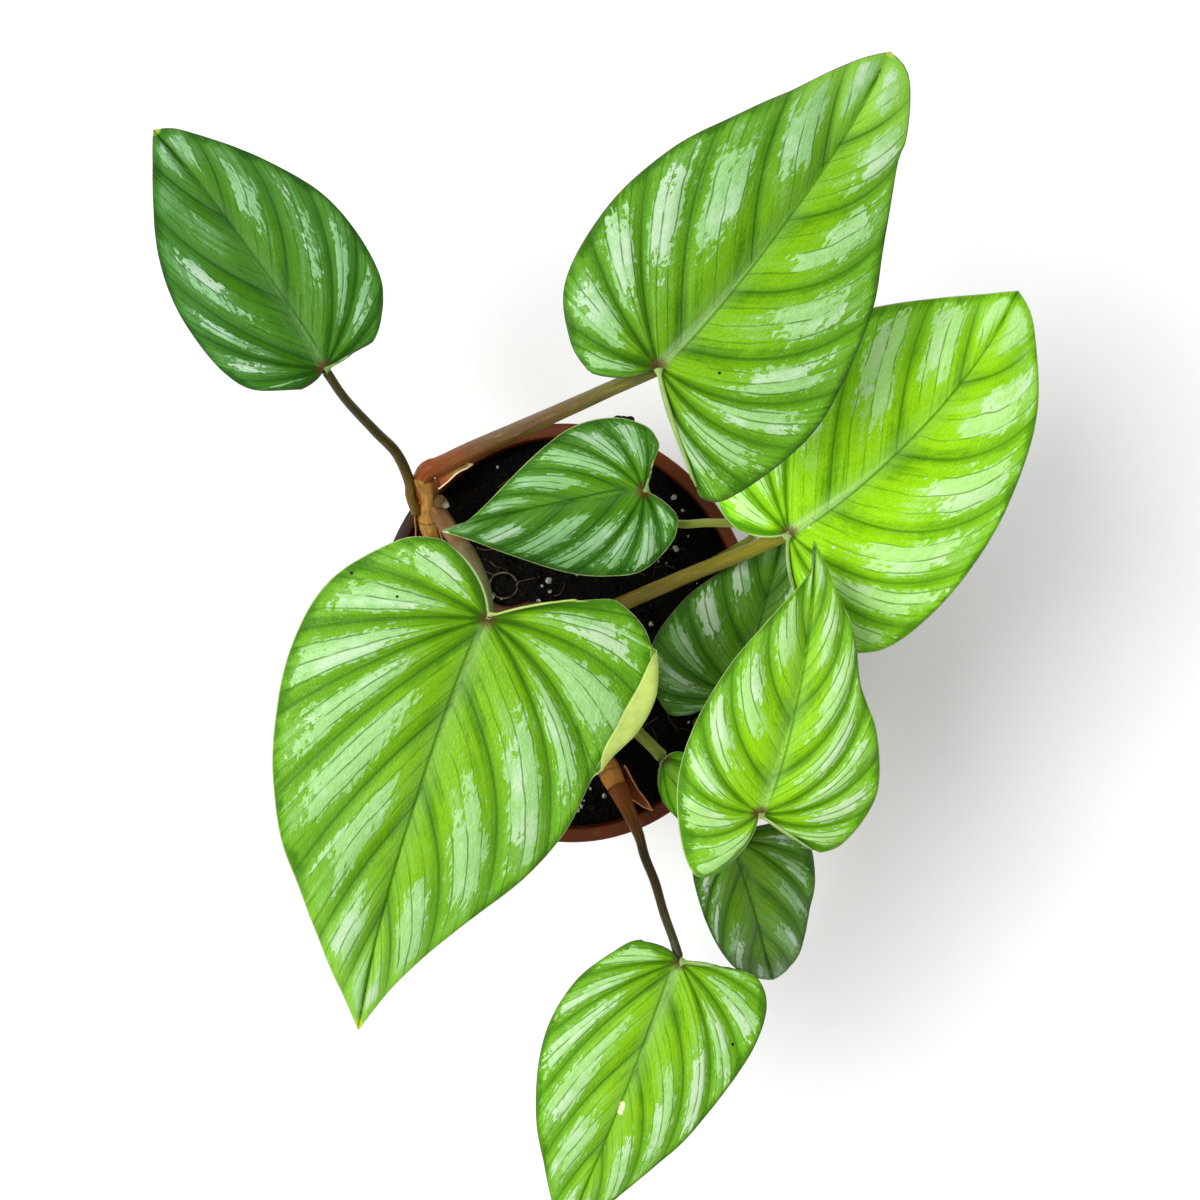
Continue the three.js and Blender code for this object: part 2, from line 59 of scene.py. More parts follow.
class Leaf:
    """A leaf, in millimetres and degrees, its blade as in the CAD source. Pairs are for the left
    and the right half, looking from the stalk to the tip.

    base is where the blade meets its stalk, heading the way its midrib points from +X, and dip how
    far its tip hangs. left and right are each half's outline from the notch to the tip as
    (along, across), and notch bends the notch's two edges. veins counts the veins of each half.
    bend bows the midrib sideways, arch bows the blade up, rise lifts each half, sag drops the
    margins, and pleat is the depth of the sunken veins. crowd and bow say how a half's veins crowd
    towards the notch and bow away from the tip.

    stalk is the stalk's way and thick its radius at its foot and under the blade. foot is the way
    that takes the place of the stalk's first point where it leaves the creeping stem, and
    foot_thick how thick it starts there and over what share of its length that fades. skin is the
    stalk's colours from foot to blade.

    lime is how young a green each half has, silver how much of it the silver covers, shade its
    brightness, rib how pale the midrib is and rim which edge colour it has. For the two low leaves
    shade is a painted shadow of the blades above them, and for the right and small blades a painted
    light that brightens them against the shadow falling on them. inward shifts the silver to the
    midrib, tip brightens the tip, fringe is the width of the green edge and under the colour of the
    underside. marks are spots as (along, across, radius, colour). curl rolls a stretch of one
    margin up and inward.
    """

    crowd, bow, foot, foot_thick, marks = (1, 1), (0.18, 0.18), None, (1, 1), ()
    inward, tip, fringe, under, curl = 0, 0, 1.6, None, None

    def __init__(self, name, **given):
        self.name = name
        vars(self).update(given)
        self.length = self.left[-1][0]


LEAVES = [
    Leaf("back_left",
        base=(-62.7, 70.1, 165), heading=126, dip=10, veins=(6, 5.6), bend=-2, arch=3, rise=1,
        sag=3, pleat=0.8, bow=(0.14, 0.2), notch=((-2, 3), (-1.5, -6)),
        left=[(-1, 8), (6, 18), (15, 22), (27, 23), (39, 22), (52, 18), (70, 8), (83, 0)],
        right=[(-2, -13), (-1.7, -15.4), (2, -20), (11, -26), (26, -28), (41, -26), (57, -19),
            (70, -11), (79, -5), (83, 0)],
        stalk=[(-42.8, 36.5, 117), (-44.4, 42.4, 121), (-47.2, 50.4, 130), (-52.2, 56, 141),
            (-58.7, 63.6, 156)], thick=(1.7, 1.15), foot=[(-43, 34.5, 115), (-44.4, 39.6, 119)],
        foot_thick=(0.9, 0.3), skin=((104, 78, 20), (70, 60, 14), (66, 60, 20)),
        lime=(0, 0.05), silver=(0.2, 0.22), shade=(0.95, 0.95), rib=0.4, rim="dark", inward=0.12,
        marks=[(83, 0, 2.6, (156, 196, 70))]),
    Leaf("back_right",
        base=(23.3, 65.1, 215), heading=54, dip=9, veins=(6.7, 8.7), bend=-4, arch=4, rise=1.5,
        sag=4, pleat=1.1, crowd=(1, 1.55), bow=(0.13, 0.28), notch=((-7, 2), (-8, -8)),
        left=[(-10, 10), (-10.5, 13.4), (-7, 21), (4, 30), (25, 32.5), (46, 28), (64, 19), (75, 13),
            (90, 6), (99, 0)],
        right=[(-18, -25), (-18.5, -27.2), (-15, -32), (2, -38), (17, -39), (40, -34), (55, -27),
            (74, -18), (81, -16), (91, -11), (97, -6), (99, 0)],
        stalk=[(-40.2, 46.1, 122), (-36.2, 47.3, 124), (-25.7, 51.1, 135), (-12.7, 54.6, 157),
            (-0.7, 57.6, 180), (13.3, 61.6, 203)], thick=(2.9, 1.7), foot=[(-39.8, 38.5, 116),
            (-40.6, 43.8, 120.5), (-39, 46.4, 123)], foot_thick=(1, 0.1),
        skin=((134, 66, 20), (94, 64, 16), (98, 98, 28)),
        lime=(0.36, 0.56), silver=(0.64, 0.56), shade=(1, 1), rib=0.85, rim="dark", tip=0.6,
        marks=[(99, 0, 2, (190, 220, 90)), (6.8, -11.7, 0.5, (22, 24, 12))]),
    # Its shade above 1 is painted light, brightening the blade against the shadow of back_right.
    Leaf("right",
        base=(58.3, 27.1, 172), heading=46, dip=9, veins=(7.3, 7.2), bend=-6, arch=3, rise=1.2,
        sag=4, pleat=1, crowd=(1, 1.32), bow=(0.12, 0.34), notch=((-5, 2), (-8, -7)),
        left=[(-8, 8), (-8.9, 11.2), (-7, 19), (3, 28), (18, 33), (33, 34), (46, 32), (59, 25),
            (78, 10), (91, 0)],
        right=[(-14, -18), (-15.1, -21.5), (-13, -30), (-4, -39), (10, -42), (28, -41), (48, -36),
            (67, -27), (80, -16), (88, -7), (91, 0)],
        stalk=[(2, 3, 100.5), (4.3, 4, 106), (12.8, 7.3, 122), (24.3, 12.3, 138), (36.3, 17.5, 150),
            (48.3, 22.3, 161)], thick=(2.3, 1.9),
        skin=((92, 78, 28), (112, 96, 24), (126, 122, 24)),
        lime=(0.9, 0.95), silver=(0.56, 0.58), shade=(1.5, 1.2), rib=0.85, rim="pale",
        marks=[(4.5, -1.8, 0.5, (226, 240, 200)), (4.9, -9.7, 0.5, (226, 240, 200))]),
    Leaf("centre",
        base=(21.3, 39.1, 149), heading=-169, dip=9, veins=(7, 6.6), bend=-1, arch=2.5, rise=1,
        sag=2, pleat=0.8, notch=((-4, 2), (-2, -3)),
        left=[(-7, 7), (-7.6, 9.4), (-5, 15), (4, 21), (13, 21), (24, 18), (39, 10), (49, 4),
            (57, 0)],
        right=[(-6, -10), (-6.5, -12.1), (-4, -17), (4, -21), (14, -21), (24, -17), (41, -6),
            (50, -1), (57, 0)],
        stalk=[(43.4, 21.4, 86), (43.4, 21.4, 98), (52.8, 27.4, 118), (51, 30.4, 131),
            (39.3, 30.8, 139), (30.3, 30.6, 141), (24.8, 34.1, 143.5)], thick=(1.3, 1.1),
        skin=((116, 108, 36), (146, 152, 62), (142, 152, 68)),
        lime=(0.08, 0.18), silver=(0.68, 0.66), shade=(1, 1.06), rib=0.15, rim="pale",
        marks=[(57, 0, 2.8, (226, 222, 176))]),
    Leaf("front_right",
        base=(50.3, -44.9, 178), heading=79, dip=-5, veins=(7, 7.3), bend=-3, arch=5, rise=1.5,
        sag=4, pleat=1.1, bow=(0.26, 0.28), notch=((-9, -1), (-2, -6)),
        left=[(-19, 7), (-20.1, 8.5), (-20, 13), (-12, 18), (3, 22), (19, 21), (37, 15), (53, 6),
            (63, 0), (71, 0)],
        right=[(-7, -16), (-7.4, -18.3), (-4, -23), (7, -28), (16, -28), (28, -24), (38, -18),
            (50, -14), (61, -7), (67, -3), (71, 0)],
        stalk=[(39, -27, 86), (39, -27, 98), (44.5, -29.9, 125), (47.3, -36.9, 152)],
        thick=(2.2, 1.7), skin=((104, 90, 34), (120, 114, 40), (136, 130, 50)),
        lime=(0.9, 0.95), silver=(0.62, 0.66), shade=(0.94, 0.97), rib=0.45, rim="pale"),
    Leaf("front_left",
        base=(-17.7, 5.1, 205), heading=-108, dip=10, veins=(7.4, 8.1), bend=-3, arch=5, rise=1.8,
        sag=5, pleat=1.2, bow=(0.22, 0.08), notch=((-8, 10), (-10, -3)),
        left=[(-13, 25), (-13.3, 29.2), (-8, 38), (4, 44), (15, 43), (26, 37), (44, 34), (58, 28),
            (76, 16), (94, 6), (111, 0)],
        right=[(-14, -14), (-14.6, -18), (-11, -27), (4, -40), (23, -44), (46, -41), (66, -33),
            (80, -23), (92, -14), (104, -5), (111, 0)],
        stalk=[(-37.4, 35.2, 115), (-35.2, 32.4, 118), (-31, 26.6, 123), (-27, 22.8, 141),
            (-21.2, 14.1, 171)], thick=(2.6, 1.6),
        skin=((120, 84, 50), (104, 88, 44), (86, 104, 28)),
        lime=(0.58, 0.56), silver=(0.56, 0.56), shade=(1, 1), rib=0.45, rim="pale", tip=0.55,
        fringe=3, under=(200, 224, 106),
        curl={"side": 0, "start": 0.12, "end": 0.37, "width": 4.5, "radius": 1.1, "rows": 0.3},
        marks=[(111, 0, 4, (196, 224, 60)), (0, -35.1, 0.6, (24, 34, 14)),
            (1.3, -22.3, 0.5, (24, 34, 14))]),
    Leaf("front",
        base=(31.3, -89.9, 138), heading=-111, dip=15, veins=(6.9, 6), bend=0, arch=4, rise=1.2,
        sag=3, pleat=0.9, bow=(0.22, 0.12), notch=((-2, 6), (-4, -3)),
        left=[(-4, 13), (-4, 21), (3, 27), (15, 28), (31, 25), (49, 19.5), (66, 12), (80, 5.5),
            (92, 0)],
        right=[(-2, -12), (-1.1, -14.1), (3, -17.5), (14, -24), (27, -27), (41, -26), (57, -21),
            (72, -13), (84, -6), (92, 0)],
        stalk=[(19.2, -53.6, 117.5), (20.6, -57.4, 120), (22.1, -62.7, 123.5), (24.9, -69.4, 128),
            (27.3, -77.5, 132), (30, -84.8, 136)], thick=(1.5, 1.2), foot=[(14.6, -44.5, 112),
            (18, -51.6, 116.6)], foot_thick=(2.05, 0.34),
        skin=((146, 76, 26), (60, 44, 24), (62, 64, 38)),
        lime=(0.72, 0.72), silver=(0.56, 0.6), shade=(0.96, 1), rib=0.6, rim="dark",
        marks=[(16.1, 22.1, 0.6, (26, 28, 12)), (44.6, 0.3, 1, (232, 240, 186)),
            (45.8, 0.4, 1.1, (232, 240, 186)), (47, 0.5, 1, (232, 240, 186))]),
    # Its low shade is a painted shadow of front_right above it.
    Leaf("low_front_right",
        base=(46.3, -54.9, 150), heading=-74, dip=39, veins=(5.4, 5), bend=0, arch=4, rise=1, sag=3,
        pleat=0.7, notch=((-4, 3), (-5, -1)),
        left=[(-3, 9), (-2, 11.6), (3, 16), (10, 19), (20, 18), (30, 15), (45, 10), (55, 5),
            (60, 0)],
        right=[(-6, -6), (-5.9, -7.7), (-3, -11), (7, -14), (23, -14), (38, -12), (47, -9),
            (55, -4), (60, 0)],
        stalk=[(37, -33, 86), (37, -33, 98), (42.3, -38.4, 112), (45.8, -46.9, 132)],
        thick=(1.6, 1.3), skin=((90, 82, 32), (88, 84, 30), (92, 92, 38)),
        lime=(0.42, 0.42), silver=(0.34, 0.4), shade=(0.55, 0.55), rib=0.2, rim="dark"),
    # Its low shade is a painted shadow of the blades above it.
    Leaf("low_right",
        base=(47.3, -15.9, 138), heading=75, dip=-15, veins=(6, 5.8), bend=0, arch=3, rise=1, sag=2,
        pleat=0.8, notch=((-3, 3), (-2, -4)),
        left=[(-10, 10), (-11.2, 11.8), (-12, 17), (-4, 24), (7, 26), (22, 21), (35, 12), (43, 6),
            (48, 0)],
        right=[(-7, -10), (-7.8, -12), (-6, -17), (2, -22), (14, -22), (27, -17), (38, -9),
            (48, 0)],
        stalk=[(39.3, -10.9, 86), (39.3, -10.9, 98), (41.3, -11.9, 115), (45.3, -14.4, 130)],
        thick=(1.6, 1.3), skin=((90, 82, 32), (88, 84, 30), (92, 92, 38)),
        lime=(0.3, 0.2), silver=(0.45, 0.45), shade=(0.62, 0.62), rib=0.9, rim="dark"),
    # Its shade above 1 is painted light, brightening the blade against the shadow of front_right.
    Leaf("small",
        base=(27.3, -34.9, 127), heading=-59, dip=16, veins=(4, 4), bend=0, arch=1.5, rise=0.6,
        sag=2, pleat=0.4, notch=((-1, 2), (0, -1)),
        left=[(0, 4), (1.1, 5.4), (5, 7), (12, 7), (20, 6), (27, 3), (32, 0)],
        right=[(2, -3), (8, -6), (14, -6), (22, -4), (28, -2), (32, 0)],
        stalk=[(7.6, -18.2, 100.5), (9, -19, 104), (13, -22, 110), (19, -27, 116),
            (23.5, -31, 122)], thick=(2, 1.7),
        skin=((120, 104, 40), (138, 140, 56), (136, 150, 60)),
        lime=(0.7, 0.7), silver=(0, 0), shade=(1.4, 1.4), rib=0.3, rim="pale"),
]

# The creeping stem's way, and the dry scales around it: each is a pointed sheath along its way,
# thick its half-width at the foot and near the tip, open the angle that its edges leave and tones
# the colours of its foot, body and edge.
CREEPER = [
    (-41.2, 45.6, 121), (-39.8, 40.1, 118), (-39.8, 31.1, 110), (-36.5, 20, 102), (-27, 9.1, 98.5),
    (-16.7, 5.1, 98), (-7.7, 6.1, 98), (1.3, 2.1, 98.5), (6.3, -8.9, 98.5), (7.3, -20.9, 98.5),
    (9.3, -31.9, 103), (13.3, -41.9, 110), (18.8, -52.9, 117),
]
CREEPER_RADIUS = 2.9
CREEPER_KNOTS = 9
SCALE_THICKNESS = 0.35
SCALES = {
    "scale_cream": {
        "way": [(-36.7, 42.9, 121.6), (-34.7, 44.1, 123), (-30.7, 46.6, 126), (-26.2, 47.6, 128)],
        "thick": (1.7, 0.5), "open": 120,
        "tones": ((168, 84, 46), (214, 170, 104), (250, 240, 206))},
    "scale_back": {
        "way": [(-39.2, 24.6, 107), (-40.5, 31.1, 112.5), (-41, 38.1, 118.5)],
        "thick": (3.7, 1.6), "open": 110, "tones": ((74, 36, 8), (116, 70, 30), (172, 118, 76))},
    "scale_front": {
        "way": [(14.3, -39.9, 110.5), (19.3, -46.2, 111.6), (24.6, -51, 112.3)],
        "thick": (2.4, 0.5), "open": 150, "tones": ((120, 52, 22), (158, 78, 36), (226, 160, 122))},
}

# The bud at the stem's back end, the curled dry rootlet on the soil, and the lumps of the clod on
# the rim with their radii.
BUD = {"at": (-36.2, 37.6, 118.3), "size": 2, "point": (0.8, -0.45, 0.35),
       "tones": ((66, 46, 22), (96, 72, 38), (226, 220, 198))}
ROOTLET = {"centre": (-18.9, 13.9), "ring": 4.1, "start": 20, "end": (-8.1, 16.4)}
CLOD = [((16.4, 57.4, 106), 1.9), ((16.3, 59.3, 106.2), 2), ((16.4, 61.2, 105.9), 1.9),
        ((18, 61.7, 105.6), 1.6), ((14.9, 61.9, 105.5), 1.5)]

# The pot as the CAD source has it: its profile is spun, then pressed oval and turned.
POT_HEIGHT = 105
RIM_RADIUS = 60
RIM_WIDTH = 3
LIP = 1
BASE_RADIUS = 42
WALL = 1.6
FLOOR = 2.4
BAND_FOOT = 90
TAPER_TOP = 55.8
OVAL = (0.93, 1.02)
OVAL_TURN = math.radians(7)
DRAIN_HOLES = 6
DRAIN_RADIUS = 4
DRAIN_CIRCLE = 30
SOIL_LEVEL = 97

# How the veins are laid out, as in the CAD source.
FAN_SHARE = 0.54
LAST_VEIN = 0.9
CLIMB = 1.5
VEIN_SPREAD = 0.8
NOTCH_SHARE = 0.22
HALF_WIDTH = 0.4
OUTWARD = (1, -1)

# How far under the middle of its blade a stalk ends.
STALK_GAP = 1.2

# The finer mesh of the dressed blades: columns between two veins, and rows from midrib to margin.
COLUMNS = 12
ROWS = 28
CURLED_ROWS = 44

# Their fine relief: the groove of a vein, the waves between veins, the crease of the midrib, the
# slow unevenness and the frill of the margin. Then how wide and how many times thicker the rib
# under the midrib is, and how far a curled margin rolls.
GROOVE = 0.22
FINE_PLEAT = 0.07
CREASE = 0.7
UNEVEN = 0.45
FRILL = 0.3
RIB_WIDTH = 1.8
THICK_AT_RIB = 4
CURL_ANGLE = 0.93 * math.pi

# What lies on the soil, and how finely its surface is divided.
SOIL_RINGS = 70
CRUMBS = 1500
PERLITE_GRAINS = 110
THREADS = 70

# The camera looks straight down from here. A wide sun shines from the left under a white sky.
CAMERA = (9.5, 9.6, 705)
LENS = 61.8
SENSOR = 36
FLOOR_SIZE = 2500
SKY_STRENGTH = 0.42
SUN_STRENGTH = 2.8
SUN_WIDTH = 36
SUN_WAY = (0.54, 0, -0.87)


def srgb(red, green, blue):
    """A colour read as levels from 0 to 255, as the linear colour that Blender keeps."""
    def linear(level):
        share = level / 255
        return share / 12.92 if share <= 0.04045 else ((share + 0.055) / 1.055) ** 2.4
    return linear(red), linear(green), linear(blue)


def mix(low, high, share):
    """A value or a colour between two others."""
    if isinstance(low, (int, float)):
        return low + (high - low) * share
    return tuple(mix(a, b, share) for a, b in zip(low, high))


def hermite(start, end, slope_in, slope_out, w):
    """A point at share w of a cubic with given slopes at its ends."""
    return (start * (2 * w**3 - 3 * w**2 + 1) + slope_in * (w**3 - 2 * w**2 + w)
            + end * (3 * w**2 - 2 * w**3) + slope_out * (w**3 - w**2))


class Curve:
    """A smooth curve through points, walked by its length as the CAD source walks it."""

    DIVISIONS = 200

    def __init__(self, points):
        self.points = [Vector(p) for p in points]
        spots = [self.at(k / self.DIVISIONS) for k in range(self.DIVISIONS + 1)]
        self.lengths = [0.0]
        for before, after in zip(spots, spots[1:]):
            self.lengths.append(self.lengths[-1] + (after - before).length)
        self.length = self.lengths[-1]

    def point(self, share):
        """The point at a share of the curve's length."""
        goal = min(max(share, 0), 1) * self.length
        low, high = 0, self.DIVISIONS
        while high - low > 1:
            middle = (low + high) // 2
            low, high = (middle, high) if self.lengths[middle] <= goal else (low, middle)
        step = self.lengths[high] - self.lengths[low]
        return self.at((low + (goal - self.lengths[low]) / step) / self.DIVISIONS)

    def span(self, t):
        place = (len(self.points) - 1) * min(max(t, 0), 1)
        number = min(int(place), len(self.points) - 2)
        return number, place - number


class Outline(Curve):
    """A flat, evenly timed curve, for a blade's edge."""

    def at(self, t):
        number, w = self.span(t)
        last = len(self.points) - 1
        p0, p1, p2, p3 = (self.points[min(max(number + k, 0), last)] for k in (-1, 0, 1, 2))
        return hermite(p1, p2, (p2 - p0) / 2, (p3 - p1) / 2, w)


class Way(Curve):
    """A centripetal curve in space, for a stalk, a stem or a root."""

    def at(self, t):
        number, w = self.span(t)
        p1, p2 = self.points[number], self.points[number + 1]
        p0 = self.points[number - 1] if number else 2 * p1 - p2
        p3 = self.points[number + 2] if number + 2 < len(self.points) else 2 * p2 - p1
        d0, d1, d2 = ((b - a).length ** 0.5 for a, b in ((p0, p1), (p1, p2), (p2, p3)))
        slope_in = ((p1 - p0) / d0 - (p2 - p0) / (d0 + d1) + (p2 - p1) / d1) * d1
        slope_out = ((p2 - p1) / d1 - (p3 - p1) / (d1 + d2) + (p3 - p2) / d2) * d1
        return hermite(p1, p2, slope_in, slope_out, w)

    def frames(self, steps):
        """At each step a point, the way on, and two directions across, the first one upward."""
        rows = []
        for k in range(steps + 1):
            share = k / steps
            on = self.point(min(share + 0.002, 1)) - self.point(max(share - 0.002, 0))
            rows.append((self.point(share), on.normalized()))
        up = Vector((0, 0, 1)) if abs(rows[0][1].z) < 0.9 else Vector((-1, 0, 0))
        frames = []
        for place, on in rows:
            up = (up - on * up.dot(on)).normalized()
            frames.append((place, on, up, on.cross(up)))
        return frames


# ---------------------------------------------------------------- materials


def sign(operation, reflected=False):
    """Makes a method of Value that adds a Math node."""
    def method(self, *other):
        values = (*other, self) if reflected else (self, *other)
        return self.shader.maths(operation, *values)
    return method


class Value:
    """A socket in a shader sum. The usual signs of arithmetic add Math nodes to the material."""

    def __init__(self, shader, socket):
        self.shader = shader
        self.socket = socket

    __add__ = __radd__ = sign("ADD")
    __sub__, __rsub__ = sign("SUBTRACT"), sign("SUBTRACT", reflected=True)
    __mul__ = __rmul__ = sign("MULTIPLY")
    __truediv__, __rtruediv__ = sign("DIVIDE"), sign("DIVIDE", reflected=True)
    __pow__, __abs__ = sign("POWER"), sign("ABSOLUTE")


class Shader:
    """A material with one Principled shader, and the nodes that feed it. Its base colour is laid on
    in coats."""

    def __init__(self, name, gloss, **constants):
        self.material = bpy.data.materials.new(name)
        self.material.use_nodes = True
        self.tree = self.material.node_tree
        self.surface = self.tree.nodes["Principled BSDF"]
        self.surface.inputs["Specular IOR Level"].default_value = gloss
        for socket, value in constants.items():
            self.feed(self.surface.inputs[socket.replace("_", " ")], value)

    def node(self, kind, settings=None, sockets=None):
        """Adds a node: its settings first, then the values or links of its sockets."""
        node = self.tree.nodes.new(kind)
        for name, value in (settings or {}).items():
            setattr(node, name, value)
        for name, value in (sockets or {}).items():
            self.feed(node.inputs[name], value)
        return node

    def feed(self, socket, value):
        """Gives a socket a value, or a link to another node."""
        if isinstance(value, Value):
            value = value.socket
        if isinstance(value, bpy.types.NodeSocket):
            self.tree.links.new(value, socket)
        elif socket.type == "RGBA" and len(value) == 3:
            socket.default_value = (*value, 1)
        else:
            socket.default_value = value

    def finish(self, roughness, height=None, depth=0, strength=1):
        """Feeds the Principled shader, with a relief of some millimetres where there is one."""
        self.feed(self.surface.inputs["Base Color"], self.base)
        self.feed(self.surface.inputs["Roughness"], roughness)
        if height is not None:
            sockets = {"Height": height, "Distance": depth * MM, "Strength": strength}
            bump = self.node("ShaderNodeBump", None, sockets)
            self.feed(self.surface.inputs["Normal"], bump.outputs["Normal"])
        return self.material

    def maths(self, operation, *values):
        """A Math node's result."""
        node = self.node("ShaderNodeMath", {"operation": operation}, dict(enumerate(values)))
        return Value(self, node.outputs[0])

    def least(self, a, b):
        return self.maths("MINIMUM", a, b)

    def most(self, a, b):
        return self.maths("MAXIMUM", a, b)

    def step(self, value, low, high, start=0, end=1):
        """Rises smoothly from start to end while the value goes from low to high."""
        sockets = {"Value": value, "From Min": low, "From Max": high, "To Min": start,
                   "To Max": end}
        node = self.node("ShaderNodeMapRange", {"interpolation_type": "SMOOTHSTEP"}, sockets)
        return Value(self, node.outputs["Result"])

    def colour(self, share, low, high):
        """A colour between two others by a share."""
        sockets = {0: share, 6: low, 7: high}
        return self.node("ShaderNodeMix", {"data_type": "RGBA"}, sockets).outputs[2]

    def coat(self, share, tone):
        """Lays a tone over the base colour by a share."""
        self.base = self.colour(share, self.base, tone)

    def attribute(self, name, output="Fac"):
        node = self.node("ShaderNodeAttribute", {"attribute_name": name})
        return Value(self, node.outputs[output])

    def parts(self, vector):
        """The three numbers of a vector."""
        node = self.node("ShaderNodeSeparateXYZ", None, {0: vector})
        return [Value(self, socket) for socket in node.outputs]

    def vector(self, x, y, z):
        return self.node("ShaderNodeCombineXYZ", None, {0: x, 1: y, 2: z}).outputs[0]

    def place(self):
        """The point on the object, in millimetres."""
        sockets = {0: self.node("ShaderNodeTexCoord").outputs["Object"], "Scale": 1 / MM}
        return self.node("ShaderNodeVectorMath", {"operation": "SCALE"}, sockets).outputs[0]

    def straight(self):
        """The place across and along a piece before it was bent, and its share of the way."""
        return *self.parts(self.attribute("straight", "Vector")), self.attribute("share")

    def blade_places(self, leaf):
        """Where a point lies on its blade. The phase counts the veins from the tip: whole numbers
        fall on the veins of either half, and q is the share between two of them."""
        s, t, span = self.parts(self.attribute("panel", "Vector"))
        along, aside, edge = self.parts(self.attribute("field", "Vector"))
        right = self.maths("LESS_THAN", aside, 0)
        left_count, right_count = leaf.veins
        phase = (1 - s) ** VEIN_SPREAD * (right * (right_count - left_count) + left_count)
        panel = self.maths("FLOOR", phase)
        q = phase - panel
        return t, span, along, aside, edge, self.attribute("reach"), right, phase, panel, q

    def noise(self, vector, scale, detail=2, roughness=0.5):
        sockets = {"Vector": vector, "Scale": scale, "Detail": detail, "Roughness": roughness}
        return Value(self, self.node("ShaderNodeTexNoise", None, sockets).outputs[0])

    def stretched(self, x, y, z, detail=2, roughness=0.5):
        """Noise over three numbers of their own scales."""
        return self.noise(self.vector(x, y, z), 1, detail, roughness)

    def cells(self, vector, scale, feature="F1", output="Distance"):
        sockets = {"Vector": vector, "Scale": scale}
        node = self.node("ShaderNodeTexVoronoi", {"feature": feature}, sockets)
        return Value(self, node.outputs[output])

    def chance(self, x, y):
        """Three random numbers for a numbered place."""
        sockets = {"Vector": self.vector(x, y, 0.5)}
        node = self.node("ShaderNodeTexWhiteNoise", {"noise_dimensions": "3D"}, sockets)
        return self.parts(node.outputs["Color"])


def leaf_tones(leaf, colours, side):
    """The vein, inner, outer, silver and midrib tones of a half blade of some age."""
    tones = []
    for part in ("vein", "inner", "green", "silver", "midrib"):
        old, young = getattr(colours, part + "_old"), getattr(colours, part + "_young")
        # shade scales each tone: for the low leaves it darkens them as painted shadow, for right
        # and small it brightens them as painted light.
        tones.append(mix(BLACK, mix(old, young, leaf.lime[side]), leaf.shade[side]))
    return tones


